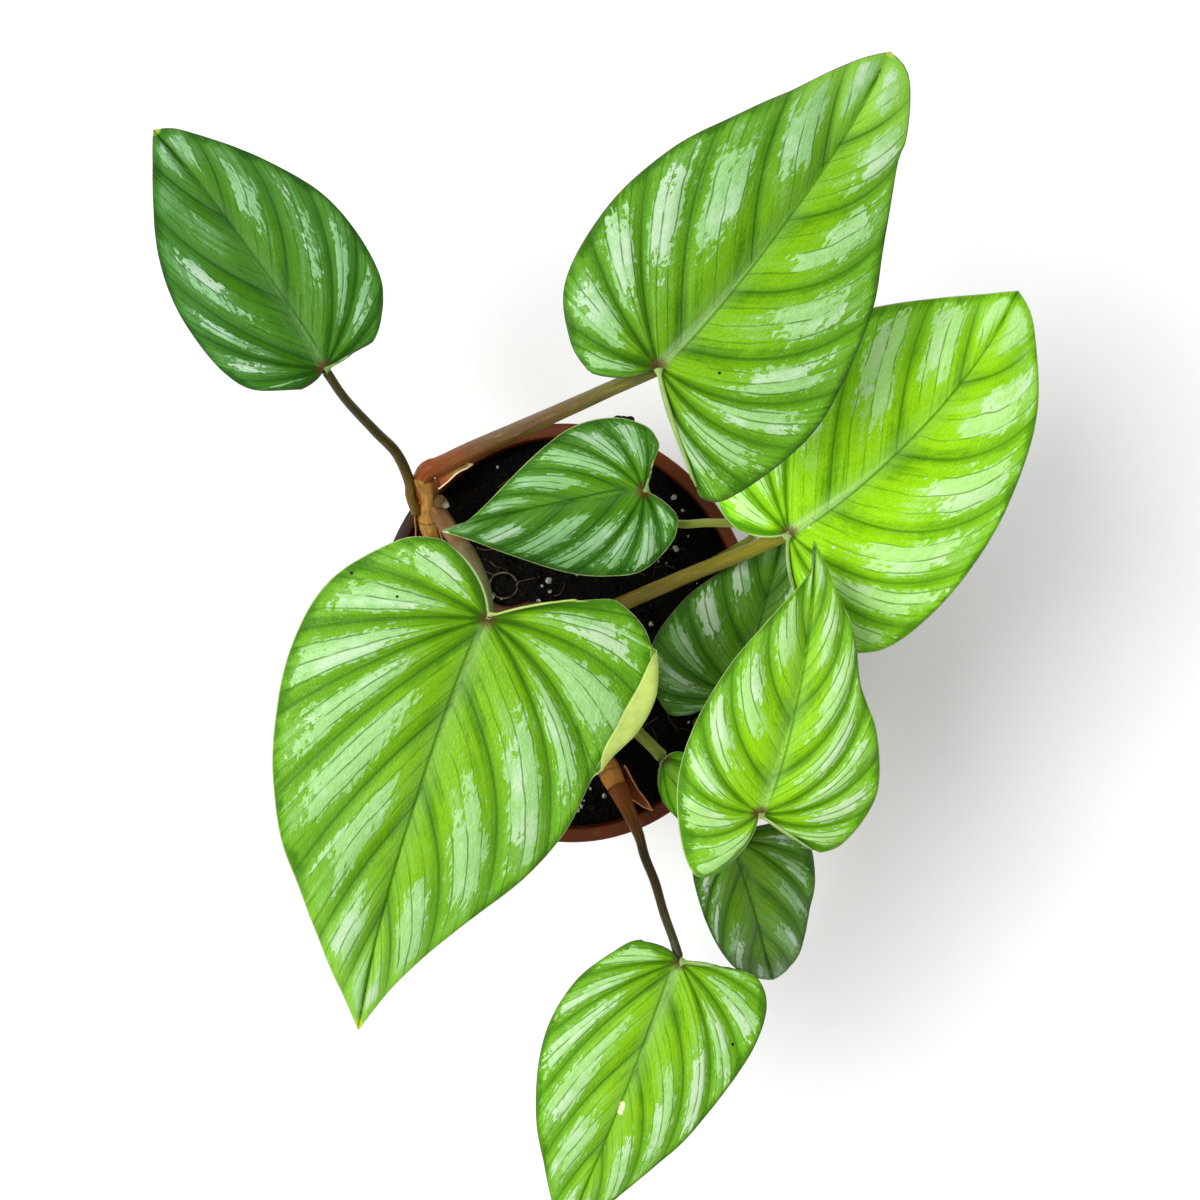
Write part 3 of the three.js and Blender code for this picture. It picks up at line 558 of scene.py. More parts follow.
def blade_top(leaf, number, colours):
    """The upper side: pleated green between dark sunken veins, with ragged silver streaks,
    painted highlights on the pleat crests and painted shade in the furrows.
    """
    sh = Shader("leaf_top_" + leaf.name, 0.14)
    t, span, along, aside, edge, reach, right, phase, panel, q = sh.blade_places(leaf)
    length = leaf.length
    seed = right * 31.7 + 7.3 * number
    off_vein = sh.least(q, 1 - q)
    near = off_vein * span
    open_fan = sh.least(span / 3, 1)

    # Vein-wise noises, long along the vein and narrow across it, from patch size to fine notches.
    across = phase * 10
    broad = sh.stretched(reach * 0.09, across * 0.22 + seed, seed)
    ragged = sh.stretched(reach * 0.34, across * 0.95 + seed, seed, 3, 0.6)
    fine = sh.stretched(reach * 1.3, across * 3.2, seed, 3, 0.65)
    streak = sh.stretched(reach * 0.045, across * 1.3, seed + 3, 3, 0.55)
    mottle = sh.stretched(along * 0.12, aside * 0.12, seed, 3)
    blocks = sh.cells(sh.vector(reach * 0.8, across * 1.3, seed), 1, "F1", "Color")

    # Finer veins cut each panel into four lanes.
    lanes = q * 4 + (broad - 0.5) * 0.5
    lane = sh.maths("FLOOR", lanes)
    by_lane = lanes - lane
    middle_lane = sh.step(abs(q - 0.5), 0.34, 0.2)
    first, second, third = sh.chance(panel * 4 + lane + 0.5, seed)

    # Silver fills a stretch of each lane, most in the middle ones, with blunt and ragged ends.
    cover = right * (leaf.silver[1] - leaf.silver[0]) + leaf.silver[0]
    start = 0.62 - leaf.inward - cover * 0.46 + (first - 0.5) * 0.26 + (1 - middle_lane) * 0.14
    end = 0.86 - leaf.inward + (second - 0.5) * 0.22 - (1 - middle_lane) * 0.08
    inside = sh.least((t - start) * 9, (end - t) * 10)
    inside = sh.least(inside, (cover * 0.24 + 0.17 + (broad - 0.5) * 0.3 - abs(q - 0.5)) * 16)
    inside = sh.least(inside, (cover * 1.5 + 0.1 + middle_lane * 0.3 - third) * 4)
    patch = inside + (ragged - 0.5) * 4 + (blocks - 0.5) * 1.5 + (fine - 0.5) * 0.8
    fringe = sh.step(edge + (ragged - 0.5) * 5, leaf.fringe, leaf.fringe * 1.3 + 0.7)
    fringe = fringe * sh.step(along, length * 0.985, length * 0.93) * sh.step(reach, 4, 8)
    flecks = sh.step(fine + (ragged - 0.5) * 1.1 + (streak - 0.5) * 0.5, 0.67, 0.71)
    flecks = flecks * sh.step(inside, -3.5, -0.5) * sh.step(t, 0.25, 0.5) * fringe
    silver = sh.most(sh.step(patch, 0, 0.2) * fringe, flecks * (cover * 1.1 + 0.05))

    # Main veins between the panels, and the finer ones between the lanes. shade darkens the furrows
    # beside the main veins as painted shade.
    open_fan = open_fan * sh.step(along, length * 0.98, length * 0.8)
    vein = sh.step(near + (fine - 0.5) * 0.2, 0.42, 0.12) * open_fan * (1 - t * 0.5)
    shade = sh.step(near, 1.9, 0.2) * open_fan * (1 - t * 0.35)
    deep = min(1, leaf.pleat / 1.1)
    minor = sh.step(sh.least(by_lane, 1 - by_lane) * span / 4, 0.26, 0.06)
    broken = sh.step(sh.stretched(reach * 0.12, across * 0.4, seed + 9), 0.38, 0.52)
    minor = minor * sh.step(near, 0.8, 1.6) * (broken * 0.75 + 0.25) * open_fan
    net = sh.cells(sh.vector(reach * 0.9, across * 1.3, seed), 1, "DISTANCE_TO_EDGE")
    net = sh.step(net, 0.12, 0.02)

    # Green: saturated by the midrib, milder outward, streaked along the veins. The lighter pleat
    # crests are a painted highlight.
    tones = zip(leaf_tones(leaf, colours, 0), leaf_tones(leaf, colours, 1))
    dark, inner, green, pale, pith = [sh.colour(right, *halves) for halves in tones]
    crest = sh.step(off_vein, 0.02, 0.42)
    # light adds a painted highlight on the pleat crests to random streaks and mottling; where it is
    # low the green is darkened, where high it is paled towards the silver.
    light = crest * 0.4 + (streak - 0.5) * 1.3 + (mottle - 0.5) * 0.8 + (fine - 0.5) * 0.35
    light = light + sh.step(t, 0, 0.4) * 0.35 + (blocks - 0.5) * 0.22
    light = light - sh.step(edge + (mottle - 0.5) * 5, 5, 0.5) * 0.75
    light = light + sh.step(along, length * 0.6, length * 0.95) * 0.3
    sh.base = sh.colour(sh.step(t + (broad - 0.5) * 0.5, 0.2, 0.8), inner, green)
    sh.coat(sh.step(light, 0.5, -0.3) * 0.8, dark)
    sh.coat(sh.step(light, 0.5, 1.1) * 0.35, pale)
    sh.coat(sh.step(along, length * 0.6, length * 0.88) * leaf.tip, srgb(164, 228, 84))
    sh.coat(net * 0.14, dark)
    # Painted shade in the furrows beside the main veins.
    sh.coat(shade * 0.5 * deep, dark)
    pale = sh.colour(sh.step(fine + (streak - 0.5) * 0.8, 0.66, 0.3) * 0.35, pale, green)
    pale = sh.colour((1 - blocks) * 0.35, pale, green)
    # Painted highlight: the silver is whitened, and laid more thickly, on the pleat crests.
    pale = sh.colour(sh.step(mottle + (first - 0.5) * 0.5, 0.45, 0.7) * crest * 0.3, pale, WHITE)
    sh.coat(silver * (crest * 0.3 + 0.68), pale)
    sh.coat(sh.most(vein * 0.85, minor * (silver * 0.3 + 0.46)) * min(1, deep * 1.4), dark)

    # The midrib, pale near the stalk, with a painted sheen beside it, then a thin crease darkened
    # as painted shade; a brown foot; and the thin edge.
    half = sh.step(along, 0, length * 0.5, 1.5, 0.35)
    rib = sh.step(abs(aside), half * 1.2, half * 0.7) * sh.step(along, -0.8, 0.6)
    sh.coat(rib * sh.step(along, length * 0.65, length * 0.08, 0, leaf.rib), pith)
    # A painted sheen: a pale grey-green band on both sides of the midrib.
    beside = sh.step(abs(aside), 4.5, 0.8) * sh.step(along, 0, 12)
    beside = beside * sh.step(along, length * 0.9, length * 0.5)
    sh.coat(beside * (1 - rib) * 0.4, sh.colour(0.5, pith, green))
    # Painted shade: a dark line in the crease along one side of the midrib.
    crease_shade = sh.step(abs(aside + half * 0.9), 0.5, 0.1) * sh.step(along, 0.5, 8)
    sh.coat(crease_shade * sh.step(along, length * 0.97, length * 0.8) * 0.7, dark)
    from_foot = (along * along + aside * aside) ** 0.5
    sh.coat(sh.step(from_foot + (fine - 0.5) * 2, 3.2, 0.8) * 0.85, colours.foot)
    sh.coat(sh.step(edge, 0.45, 0.2) * 0.7, getattr(colours, "rim_" + leaf.rim))
    for x, y, radius, tone in leaf.marks:
        gap = ((along - x) ** 2 + (aside - y) ** 2) ** 0.5
        sh.coat(sh.step(gap + (fine - 0.5) * radius, radius, radius * 0.6), srgb(*tone))

    height = crest * 0.3 - vein * 0.7 - minor * 0.45 - net * 0.25 + (fine - 0.5) * 0.4
    height = height + silver * 0.12 + (streak - 0.5) * 0.6
    height = height - sh.step(near, 2.6, 0) * open_fan * 1.6 * deep
    rough = sh.step(silver, 0, 1, 0.4, 0.34) + (mottle - 0.5) * 0.2 + (fine - 0.5) * 0.1
    return sh.finish(rough, height, 0.26, 0.8)


def blade_under(leaf, number, colours):
    """The underside: paler and matt, with its veins raised."""
    sh = Shader("leaf_under_" + leaf.name, 0.25)
    t, span, along, aside, edge, reach, right, phase, panel, q = sh.blade_places(leaf)
    faint = 0.1 if leaf.under else 1
    vein = sh.step(sh.least(q, 1 - q) * span, 0.6, 0.15) * sh.least(span / 2.5, 1) * faint
    fine = sh.stretched(reach * 1.1, phase * 16, 3.1 * number, 3, 0.6)
    mottle = sh.stretched(along * 0.25, aside * 0.25, number, 3)
    rib = sh.step(abs(aside), 2, 0.8) * sh.step(along, -0.8, 0.6)
    tone = srgb(*leaf.under) if leaf.under else colours.under
    sh.base = sh.colour(sh.step(mottle, 0.35, 0.65), mix(tone, BLACK, 0.18), tone)
    sh.coat(sh.step(fine, 0.35, 0.75) * 0.3, mix(tone, WHITE, 0.25))
    sh.coat(sh.most(vein * 0.6, rib), colours.midrib_old)
    height = vein * 0.8 + rib * 0.4 + (fine - 0.5) * 0.3
    return sh.finish(0.6 + (mottle - 0.5) * 0.2, height, 0.3, 0.8)


def stalk_skin(name, number, colours, tones):
    """A stalk's skin: long fine streaks and pores, its colour going from foot to blade."""
    sh = Shader("skin_" + name, 0.2)
    x, y, on, share = sh.straight()
    streak = sh.stretched(x * 1.6, y * 1.6, on * 0.09 + 5.1 * number, 4, 0.6)
    blotch = sh.stretched(x * 0.4, y * 0.4, on * 0.14 + 9.7 * number, 3)
    pores = sh.cells(sh.vector(x * 1.5, y * 1.5, on * 0.8), 1)
    foot, middle, top = (srgb(*tone) for tone in tones)
    sh.base = sh.colour(sh.step(share + (blotch - 0.5) * 0.3, 0.05, 0.4), foot, middle)
    sh.coat(sh.step(share + (blotch - 0.5) * 0.2, 0.55, 1), top)
    sh.coat(sh.step(streak, 0.3, 0.55, 0.45, 0), mix(middle, BLACK, 0.5))
    sh.coat(sh.step(streak, 0.55, 0.75, 0, 0.4), mix(middle, srgb(215, 190, 110), 0.6))
    sh.coat(sh.step(pores, 0.22, 0.1) * 0.2, colours.pores)
    height = streak * 0.8 - sh.step(pores, 0.25, 0.1) * 0.4
    return sh.finish(0.42 + (streak - 0.5) * 0.4, height, 0.2, 0.8)


def stem_bark(colours):
    """The creeping stem's skin: tan and yellow, darker where it lies on the soil, ringed at each
    knot, with papery scars."""
    sh = Shader("stem_bark", 0.3)
    x, y, on, share = sh.straight()
    knot = share * CREEPER_KNOTS
    knot = knot - sh.maths("FLOOR", knot)
    streak = sh.stretched(x * 1.4, y * 1.4, on * 0.12, 4, 0.6)
    blotch = sh.stretched(x * 0.25, y * 0.25, on * 0.16, 3)
    flakes = sh.stretched(x * 0.9, y * 0.9, on * 0.5, 5, 0.7)
    sh.base = sh.colour(sh.step(blotch, 0.3, 0.55), colours.stem_brown, colours.stem_tan)
    sh.coat(sh.step(streak, 0.5, 0.7) * 0.6, colours.stem_yellow)
    sh.coat(sh.step(flakes, 0.58, 0.7) * 0.6, srgb(92, 58, 34))
    sh.coat(sh.step(share, 0.84, 0.93) * 0.75, srgb(222, 138, 68))
    scar = sh.step(sh.least(knot, 1 - knot) + (flakes - 0.5) * 0.05, 0.035, 0)
    sh.coat(scar * 0.35, srgb(70, 42, 22))
    lying = sh.step(share, 0.2, 0.32) * sh.step(share, 0.86, 0.74)
    sh.coat(lying * 0.85, colours.stem_dark)
    height = streak * 0.6 + flakes * 0.7 - scar * 0.8
    return sh.finish(0.5 + (flakes - 0.5) * 0.4, height, 0.4, 0.9)


def dry_scale(name, number, tones):
    """A papery sheath: long fibres, a pale dry edge and a darker foot."""
    sh = Shader("dry_" + name, 0.25)
    x, y, on, share = sh.straight()
    foot, body, edge = (srgb(*tone) for tone in tones)
    fibre = sh.stretched(x * 2.2, y * 2.2, on * 0.25 + 4.4 * number, 4, 0.65)
    blotch = sh.stretched(x * 0.5, y * 0.5, on * 0.3 + 2.2 * number, 3)
    sh.base = sh.colour(sh.step(share + (blotch - 0.5) * 0.5, 0.1, 0.6), foot, body)
    sh.coat(sh.step(fibre, 0.35, 0.55, 0.5, 0), mix(foot, BLACK, 0.4))
    rim = sh.step(abs(y) + (fibre - 0.5) * 0.3, 0.72, 0.98)
    sh.coat(sh.most(rim, sh.step(share, 0.8, 1)) * 0.85, edge)
    return sh.finish(0.62 + (fibre - 0.5) * 0.4, fibre, 0.4, 0.9)


def pot_plastic(colours):
    """Thin red-brown plastic: a painted highlight along the top of the lip, scuffs, dust, and a
    dark patch on the rim.
    """
    sh = Shader("pot_plastic", 0.18)
    here = sh.place()
    x, y, z = sh.parts(here)
    cloud = sh.noise(here, 0.035, 3)
    grain = sh.noise(here, 2.2, 3, 0.6)
    scuffs = sh.stretched(x * 0.35, y * 0.35, z * 0.05, 5, 0.7)
    splash = sh.cells(here, 0.16)
    sh.base = sh.colour(sh.step(cloud, 0.25, 0.75), colours.brown, colours.clay)
    # A painted highlight: the top of the lip is laid lighter with the wear colour.
    sh.coat(sh.step(z + (grain - 0.5) * 1.2, 104, 105.2) * 0.12, colours.wear_and_lip_highlight)
    sh.coat(sh.step(scuffs, 0.6, 0.72) * 0.3, colours.wear_and_lip_highlight)
    dust = sh.step(splash + (grain - 0.5) * 0.2, 0.24, 0.12) * sh.step(cloud, 0.45, 0.6)
    sh.coat(dust * 0.07, srgb(205, 190, 175))
    wet = sh.step(z, 92, 97) * sh.step(z, 104.5, 101)
    sh.coat(wet * sh.step(grain, 0.4, 0.7) * 0.15, srgb(60, 30, 20))
    # A dark patch over the upper part of the rim at the left.
    dark_rim_patch = ((x + 53) ** 2 + (y - 28) ** 2) ** 0.5 + (cloud - 0.5) * 10
    dark_rim_patch = sh.step(dark_rim_patch, 17, 11) * sh.step(z + (scuffs - 0.5) * 8, 101.5, 103.5)
    sh.coat(dark_rim_patch * 0.85, srgb(20, 14, 12))
    rough = 0.38 + (scuffs - 0.5) * 0.35 + (grain - 0.5) * 0.1
    return sh.finish(rough, grain * 0.4 + scuffs * 0.6, 0.12, 0.5)


def soil_mix(name, dark, light):
    """Damp potting mix: nearly black crumbs with brown fibres showing here and there."""
    sh = Shader(name, 0.12)
    here = sh.place()
    crumb = sh.noise(here, 0.9, 6, 0.7)
    peat = sh.cells(here, 0.75)
    sh.base = sh.colour(sh.step(crumb, 0.4, 0.75), dark, light)
    sh.coat(sh.step(sh.noise(here, 0.18, 3), 0.35, 0.65) * 0.4, mix(dark, BLACK, 0.4))
    sh.coat(sh.step(peat, 0.16, 0.05) * 0.5, mix(light, srgb(120, 80, 50), 0.3))
    return sh.finish(0.85 - sh.step(crumb, 0.5, 0.8) * 0.3, crumb + peat * 0.5, 0.9)


def grain_white(colours):
    """Perlite: off-white, pitted, with soil in its hollows."""
    sh = Shader("perlite", 0.3)
    here = sh.place()
    pits = sh.noise(here, 1.6, 4, 0.7)
    stain = sh.step(sh.noise(here, 0.5), 0.4, 0.68)
    sh.base = sh.colour(stain, colours.grain, srgb(120, 112, 104))
    sh.coat(sh.step(pits, 0.45, 0.3) * 0.6, srgb(70, 62, 55))
    return sh.finish(0.8 + (pits - 0.5) * 0.2, pits, 0.4, 0.9)


def fibre_brown(name, dark, light, matt=0.6):
    """Dry root and coir threads, streaked along their length."""
    sh = Shader(name, 0.3)
    x, y, on, _ = sh.straight()
    streak = sh.stretched(x * 3, y * 3, on * 0.5, 3, 0.6)
    sh.base = sh.colour(sh.step(streak, 0.35, 0.65), srgb(*dark), srgb(*light))
    return sh.finish(matt + (streak - 0.5) * 0.3, streak, 0.1, 0.8)


def floor_paper():
    """The pale floor: matt, with the faintest tooth."""
    sh = Shader("floor_paper", 0.1, Emission_Strength=0.1, Emission_Color=WHITE)
    tooth = sh.noise(sh.place(), 0.8)
    sh.base = sh.colour(tooth, srgb(246, 246, 247), srgb(250, 250, 250))
    return sh.finish(0.9 + (tooth - 0.5) * 0.05)


# ---------------------------------------------------------------- meshes


def made(name, bm):
    """Turns a bmesh in millimetres into an object."""
    bmesh.ops.scale(bm, vec=(MM, MM, MM), verts=bm.verts)
    mesh = bpy.data.meshes.new(name)
    bm.to_mesh(mesh)
    bm.free()
    piece = bpy.data.objects.new(name, mesh)
    bpy.context.scene.collection.objects.link(piece)
    return piece


def finished(name, bm, node, *materials):
    """Turns a bmesh in millimetres into an object that stands for a CAD node, or into a part of
    the stage where there is no node."""
    for face in bm.faces:
        face.smooth = True
    piece = made(name, bm)
    for material in materials:
        piece.data.materials.append(material)
    if node:
        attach(piece, "root")
        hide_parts(node)
    return piece


def straight_layers(bm):
    """The layers that keep each point's place before it was bent, and its share of the way, which
    the patterns read."""
    layers = bm.verts.layers
    return layers.float_vector.new("straight"), layers.float.new("share")


def tube(bm, way, radius_at, sides=20, steps=60):
    """Adds a tube: a subdivided cylinder bent onto a way. radius_at takes the share on and the
    angle round."""
    part = bmesh.new()
    straight, share_on = straight_layers(part)
    bmesh.ops.create_cone(part, cap_ends=True, cap_tris=False, segments=sides, radius1=1, radius2=1,
                          depth=1)
    long_edges = [e for e in part.edges if abs(e.verts[0].co.z - e.verts[1].co.z) > 0.5]
    bmesh.ops.subdivide_edges(part, edges=long_edges, cuts=steps - 1, use_grid_fill=True)
    frames = way.frames(steps)
    for vert in part.verts:
        share = vert.co.z + 0.5
        angle = math.atan2(vert.co.y, vert.co.x)
        place, _, up, across = frames[round(share * steps)]
        radius = radius_at(share, angle)
        vert[straight] = (radius * math.cos(angle), radius * math.sin(angle), share * way.length)
        vert[share_on] = share
        vert.co = place + radius * (math.cos(angle) * up + math.sin(angle) * across)
    mesh = bpy.data.meshes.new("part")
    part.to_mesh(mesh)
    part.free()
    bm.from_mesh(mesh)
    bpy.data.meshes.remove(mesh)


class Blade:
    """The surface of one blade, with the same shape as the CAD source gives it, and with the fine
    relief that the solids leave out. A side is 0 for the left half and 1 for the right."""

    def __init__(self, leaf, ripple):
        self.leaf = leaf
        self.ripple = ripple
        self.outlines = [Outline(points) for points in (leaf.left, leaf.right)]
        turn = Euler((0, math.radians(leaf.dip), math.radians(leaf.heading)))
        self.matrix = Matrix.Translation(leaf.base) @ turn.to_matrix().to_4x4()

    def midrib(self, share):
        return Vector((self.leaf.length * share, 4 * self.leaf.bend * share * (1 - share)))

    def vein(self, side, s):
        """The bent line of the vein at share s of the veins: its start, middle and end."""
        start = self.midrib(LAST_VEIN * max(0, (s - FAN_SHARE) / (1 - FAN_SHARE)) ** CLIMB)
        share = s ** self.leaf.crowd[side]
        end = self.outlines[side].point(share)
        chord = end - start
        bow = OUTWARD[side] * self.leaf.bow[side] * (1 - share**8)
        middle = (start + end) / 2 + Vector((-chord.y, chord.x)) * bow
        notch = Vector(self.leaf.notch[side])
        return start, middle.lerp(notch, max(0, 1 - share / NOTCH_SHARE) ** 2), end

    def height(self, x, y):
        """The height of the blade's vault, without pleats and relief."""
        leaf, share = self.leaf, x / self.leaf.length
        aside = abs(y - self.midrib(share).y) / (HALF_WIDTH * leaf.length)
        return (4 * leaf.arch * share * (1 - share) + 4 * leaf.rise * aside * (1 - aside)
                - leaf.sag * aside**2)

    def relief(self, x, y, s, t, q, span, veins):
        """The pleats and the fine relief at share t of a vein's length. q is the share between two
        veins, and span the width between them."""
        leaf, ripple = self.leaf, self.ripple
        swell = 4 * t * (1 - t) + 0.3 * t
        off_vein = min(q, 1 - q) * span
        lift = leaf.pleat * math.sin(math.pi * q) * swell
        lift -= GROOVE * ripple * max(0, 1 - off_vein) * min(1, span / 3) * (1 - 0.5 * t)
        lift += FINE_PLEAT * ripple * math.cos(6 * math.pi * q) * swell * min(1, span / 4)
        off_midrib = abs(y - self.midrib(x / leaf.length).y)
        fade = min(1, max(0, x / 12), max(0, 3 * (1 - x / leaf.length)))
        lift -= CREASE * ripple * math.exp(-off_midrib / 2.5) * fade
        lift += UNEVEN * ripple * t * noise.noise(Vector((x, y, 7.7 * leaf.heading)) * 0.06)
        return lift + FRILL * ripple * t**4 * math.sin(math.pi * s * veins + leaf.heading)

    def column(self, side, s, rows):
        """The points of one vein-wise column, each with its place for the patterns: its share of
        the vein, the way from the vein's start, the width between two veins and the way to the
        margin."""
        step = 0.002 if s < 0.5 else -0.002
        here, beside = self.vein(side, s), self.vein(side, s + step)
        veins = self.leaf.veins[side]
        slope = veins * VEIN_SPREAD * max(1 - s, 0.01) ** (VEIN_SPREAD - 1)
        q = veins * (1 - s) ** VEIN_SPREAD % 1
        points = []
        reach = 0
        before = here[0]
        for row in range(rows + 1):
            t = row / rows
            flat = bezier(here, t)
            reach += (flat - before).length
            before = flat
            onward = bezier(here, min(t + 0.01, 1)) - bezier(here, max(t - 0.01, 0))
            span = abs(onward.cross(bezier(beside, t) - flat)) / (onward.length * abs(step) * slope)
            z = self.height(*flat) + self.relief(*flat, s, t, q, span, veins)
            points.append((Vector((*flat, z)), t, reach, span))
        return [(place, t, along, span, min(reach - along, s * slope * span))
                for place, t, along, span in points]


def bezier(points, t):
    """A point at share t of a bent line through its start, towards its middle, to its end."""
    start, middle, end = points
    return start * (1 - t) ** 2 + middle * (2 * t * (1 - t)) + end * t**2


def curled(blade, side, s, points):
    """Rolls the end of a column up and inward, so that the pale underside shows from above."""
    curl = blade.leaf.curl
    share = (s - curl["start"]) / (curl["end"] - curl["start"])
    if side != curl["side"] or not 0 < share < 1:
        return points
    strength = math.sin(math.pi * share) ** 0.6
    rows = len(points) - 1
    bent = round(rows * curl["rows"])
    hinge = rows - bent
    outline = blade.outlines[side]
    on = (outline.point(s + 0.01) - outline.point(s - 0.01)).normalized()
    out = Vector((-on.y, on.x, 0)) * OUTWARD[side]
    radius = curl["radius"]
    total = strength * (math.pi * radius + curl["width"])
    inset = out * (radius * strength)
    last = points[-1][0] - inset
    result = points[:1]
    for row in range(1, hinge + 1):
        # The flat part keeps the whole column's pattern, on fewer rows.
        goal = row / hinge * rows
        low = min(int(goal), rows - 1)
        place, *looks = (mix(a, b, goal - low) for a, b in zip(points[low], points[low + 1]))
        result.append((Vector(place) - inset * (row / hinge) ** 3, *looks))
    for row in range(hinge + 1, rows + 1):
        walked = (row - hinge) / bent * total
        angle = min(walked / radius, CURL_ANGLE)
        straight = max(0, walked - CURL_ANGLE * radius)
        rise = radius * (1 - math.cos(angle)) + straight * math.sin(angle)
        forth = radius * math.sin(angle) + straight * math.cos(angle)
        _, t, reach, span, _ = points[row]
        edge = (rows - row) / bent * total + 0.1
        result.append((last + out * forth + Vector((0, 0, rise)), t, reach, span, edge))
    return result


def blade_piece(leaf, number, settings):
    """One blade: a grid with a column along each line of veins, welded at its seams and given
    its thickness by a modifier, with a thicker rib under the midrib."""
    blade = Blade(leaf, settings.ripple)
    columns = round(leaf.veins[0]) * COLUMNS
    rows = CURLED_ROWS if leaf.curl else ROWS
    table = {}
    for side, k in itertools.product((0, 1), range(columns + 1)):
        points = blade.column(side, k / columns, rows)
        table[side, k] = curled(blade, side, k / columns, points) if leaf.curl else points
    bm = bmesh.new()
    bmesh.ops.create_grid(bm, x_segments=2 * rows, y_segments=columns, size=1)
    panel = bm.verts.layers.float_vector.new("panel")
    field = bm.verts.layers.float_vector.new("field")
    reach_on = bm.verts.layers.float.new("reach")
    weights = bm.verts.layers.deform.verify()
    for vert in bm.verts:
        u, v = vert.co.x, vert.co.y
        k = round((v + 1) / 2 * columns)
        place, t, reach, span, edge = table[0 if u < 0 else 1, k][round(abs(u) * rows)]
        aside = place.y - blade.midrib(place.x / leaf.length).y
        vert[panel] = (k / columns, t, span)
        vert[field] = (place.x, aside, edge)
        vert[reach_on] = reach
        rib = max(0, 1 - abs(aside) / RIB_WIDTH) * min(1, max(0, 1 - place.x / leaf.length))
        rib = rib if place.x > -1.5 else 0
        vert[weights][0] = min(1, mix(1, THICK_AT_RIB, rib) / THICK_AT_RIB)
        vert.co = blade.matrix @ (place + Vector((0, 0, settings.thickness / MM / 2)))
    bmesh.ops.remove_doubles(bm, verts=bm.verts, dist=0.004)
    piece = finished("leaf_" + leaf.name, bm, "blade_" + leaf.name,
                     blade_top(leaf, number, settings), blade_under(leaf, number, settings))
    group = piece.vertex_groups.new(name="thickness")
    solid = piece.modifiers.new("thickness", "SOLIDIFY")
    solid.thickness = THICK_AT_RIB * settings.thickness
    solid.offset = -1
    solid.vertex_group = group.name
    solid.material_offset = 1
    solid.use_even_offset = False
    return piece


# ---------------------------------------------------------------- settings


def colour_setting(name, description, *levels):
    """A colour, given as levels from 0 to 255."""
    return bpy.props.FloatVectorProperty(name=name, description=description, subtype="COLOR",
                                         size=3, min=0, max=1, default=srgb(*levels))


def length_setting(name, description, millimetres):
    """A length, given in millimetres."""
    return bpy.props.FloatProperty(name=name, description=description, subtype="DISTANCE",
                                   unit="LENGTH", min=0, default=millimetres * MM)


class LeafSettings(bpy.types.PropertyGroup):
    """Sizes and colours of the blades."""
    thickness: length_setting("Thickness", "Thickness of a blade at its margin", 0.45)
    ripple: bpy.props.FloatProperty(
        name="Ripple", description="Strength of the fine relief on the blades", default=1, min=0,
        max=3, subtype="FACTOR")
    vein_old: colour_setting("Vein, old", "Veins of an old leaf", 28, 80, 8)
    vein_young: colour_setting("Vein, young", "Veins of a young leaf", 70, 132, 0)
    inner_old: colour_setting("Inner green, old", "Green by the midrib of an old leaf", 68, 130, 8)
    inner_young: colour_setting("Inner green, young", "The same of a young leaf", 158, 222, 14)
    green_old: colour_setting("Green, old", "Outer green of an old leaf", 72, 136, 40)
    green_young: colour_setting("Green, young", "Outer green of a young leaf", 136, 206, 30)
    silver_old: colour_setting("Silver, old", "Silver streaks of an old leaf", 156, 210, 154)
    silver_young: colour_setting("Silver, young", "Silver streaks of a young leaf", 198, 244, 158)
    midrib_old: colour_setting("Midrib, old", "Midrib of an old leaf", 104, 142, 84)
    midrib_young: colour_setting("Midrib, young", "Midrib of a young leaf", 168, 210, 116)
    foot: colour_setting("Foot", "Where the midrib meets the stalk", 96, 62, 30)
    under: colour_setting("Underside", "Underside of the blades", 150, 185, 95)
    rim_pale: colour_setting("Pale edge", "Thin edge of the young blades", 206, 224, 150)
    rim_dark: colour_setting("Dark edge", "Thin edge of the old blades", 96, 84, 70)


class StalkSettings(bpy.types.PropertyGroup):
    """Sizes and colours of the leaf stalks."""
    swelling: bpy.props.FloatProperty(
        name="Swelling", description="How much a stalk swells under its blade", default=0.12, min=0,
        max=0.5, subtype="FACTOR")
    pores: colour_setting("Pores", "Fine pale pores of the stalks", 178, 160, 104)


class StemSettings(bpy.types.PropertyGroup):
    """Colours and knots of the creeping stem."""
    knot_height: length_setting("Knot height", "How far the knots swell the creeping stem", 0.45)
    stem_brown: colour_setting("Brown", "Brown of the creeping stem", 116, 66, 26)
    stem_tan: colour_setting("Tan", "Tan of the creeping stem", 172, 122, 56)
    stem_yellow: colour_setting("Yellow", "Yellow streaks of the creeping stem", 212, 176, 92)
    stem_dark: colour_setting("Dark", "Dark of the stem where it lies on the soil", 58, 32, 28)


class PotSettings(bpy.types.PropertyGroup):
    """Colours of the pot."""
    brown: colour_setting("Brown", "Darker brown of the plastic", 80, 30, 7)
    clay: colour_setting("Clay", "Lighter clay of the plastic", 106, 43, 16)
    # This colour also paints the highlight along the top of the pot's lip.
    wear_and_lip_highlight: colour_setting("Rubbed", "Rubbed edges and scuffs of the pot", 176, 104, 72)


class SoilSettings(bpy.types.PropertyGroup):
    """Colours and relief of the potting mix."""
    relief: length_setting("Relief", "How rough the potting mix is", 1.1)
    dark: colour_setting("Dark", "Wet dark of the potting mix", 6, 5, 6)
    light: colour_setting("Light", "Dry light of the potting mix", 25, 20, 17)
    grain: colour_setting("Perlite", "White grains in the potting mix", 216, 214, 208)


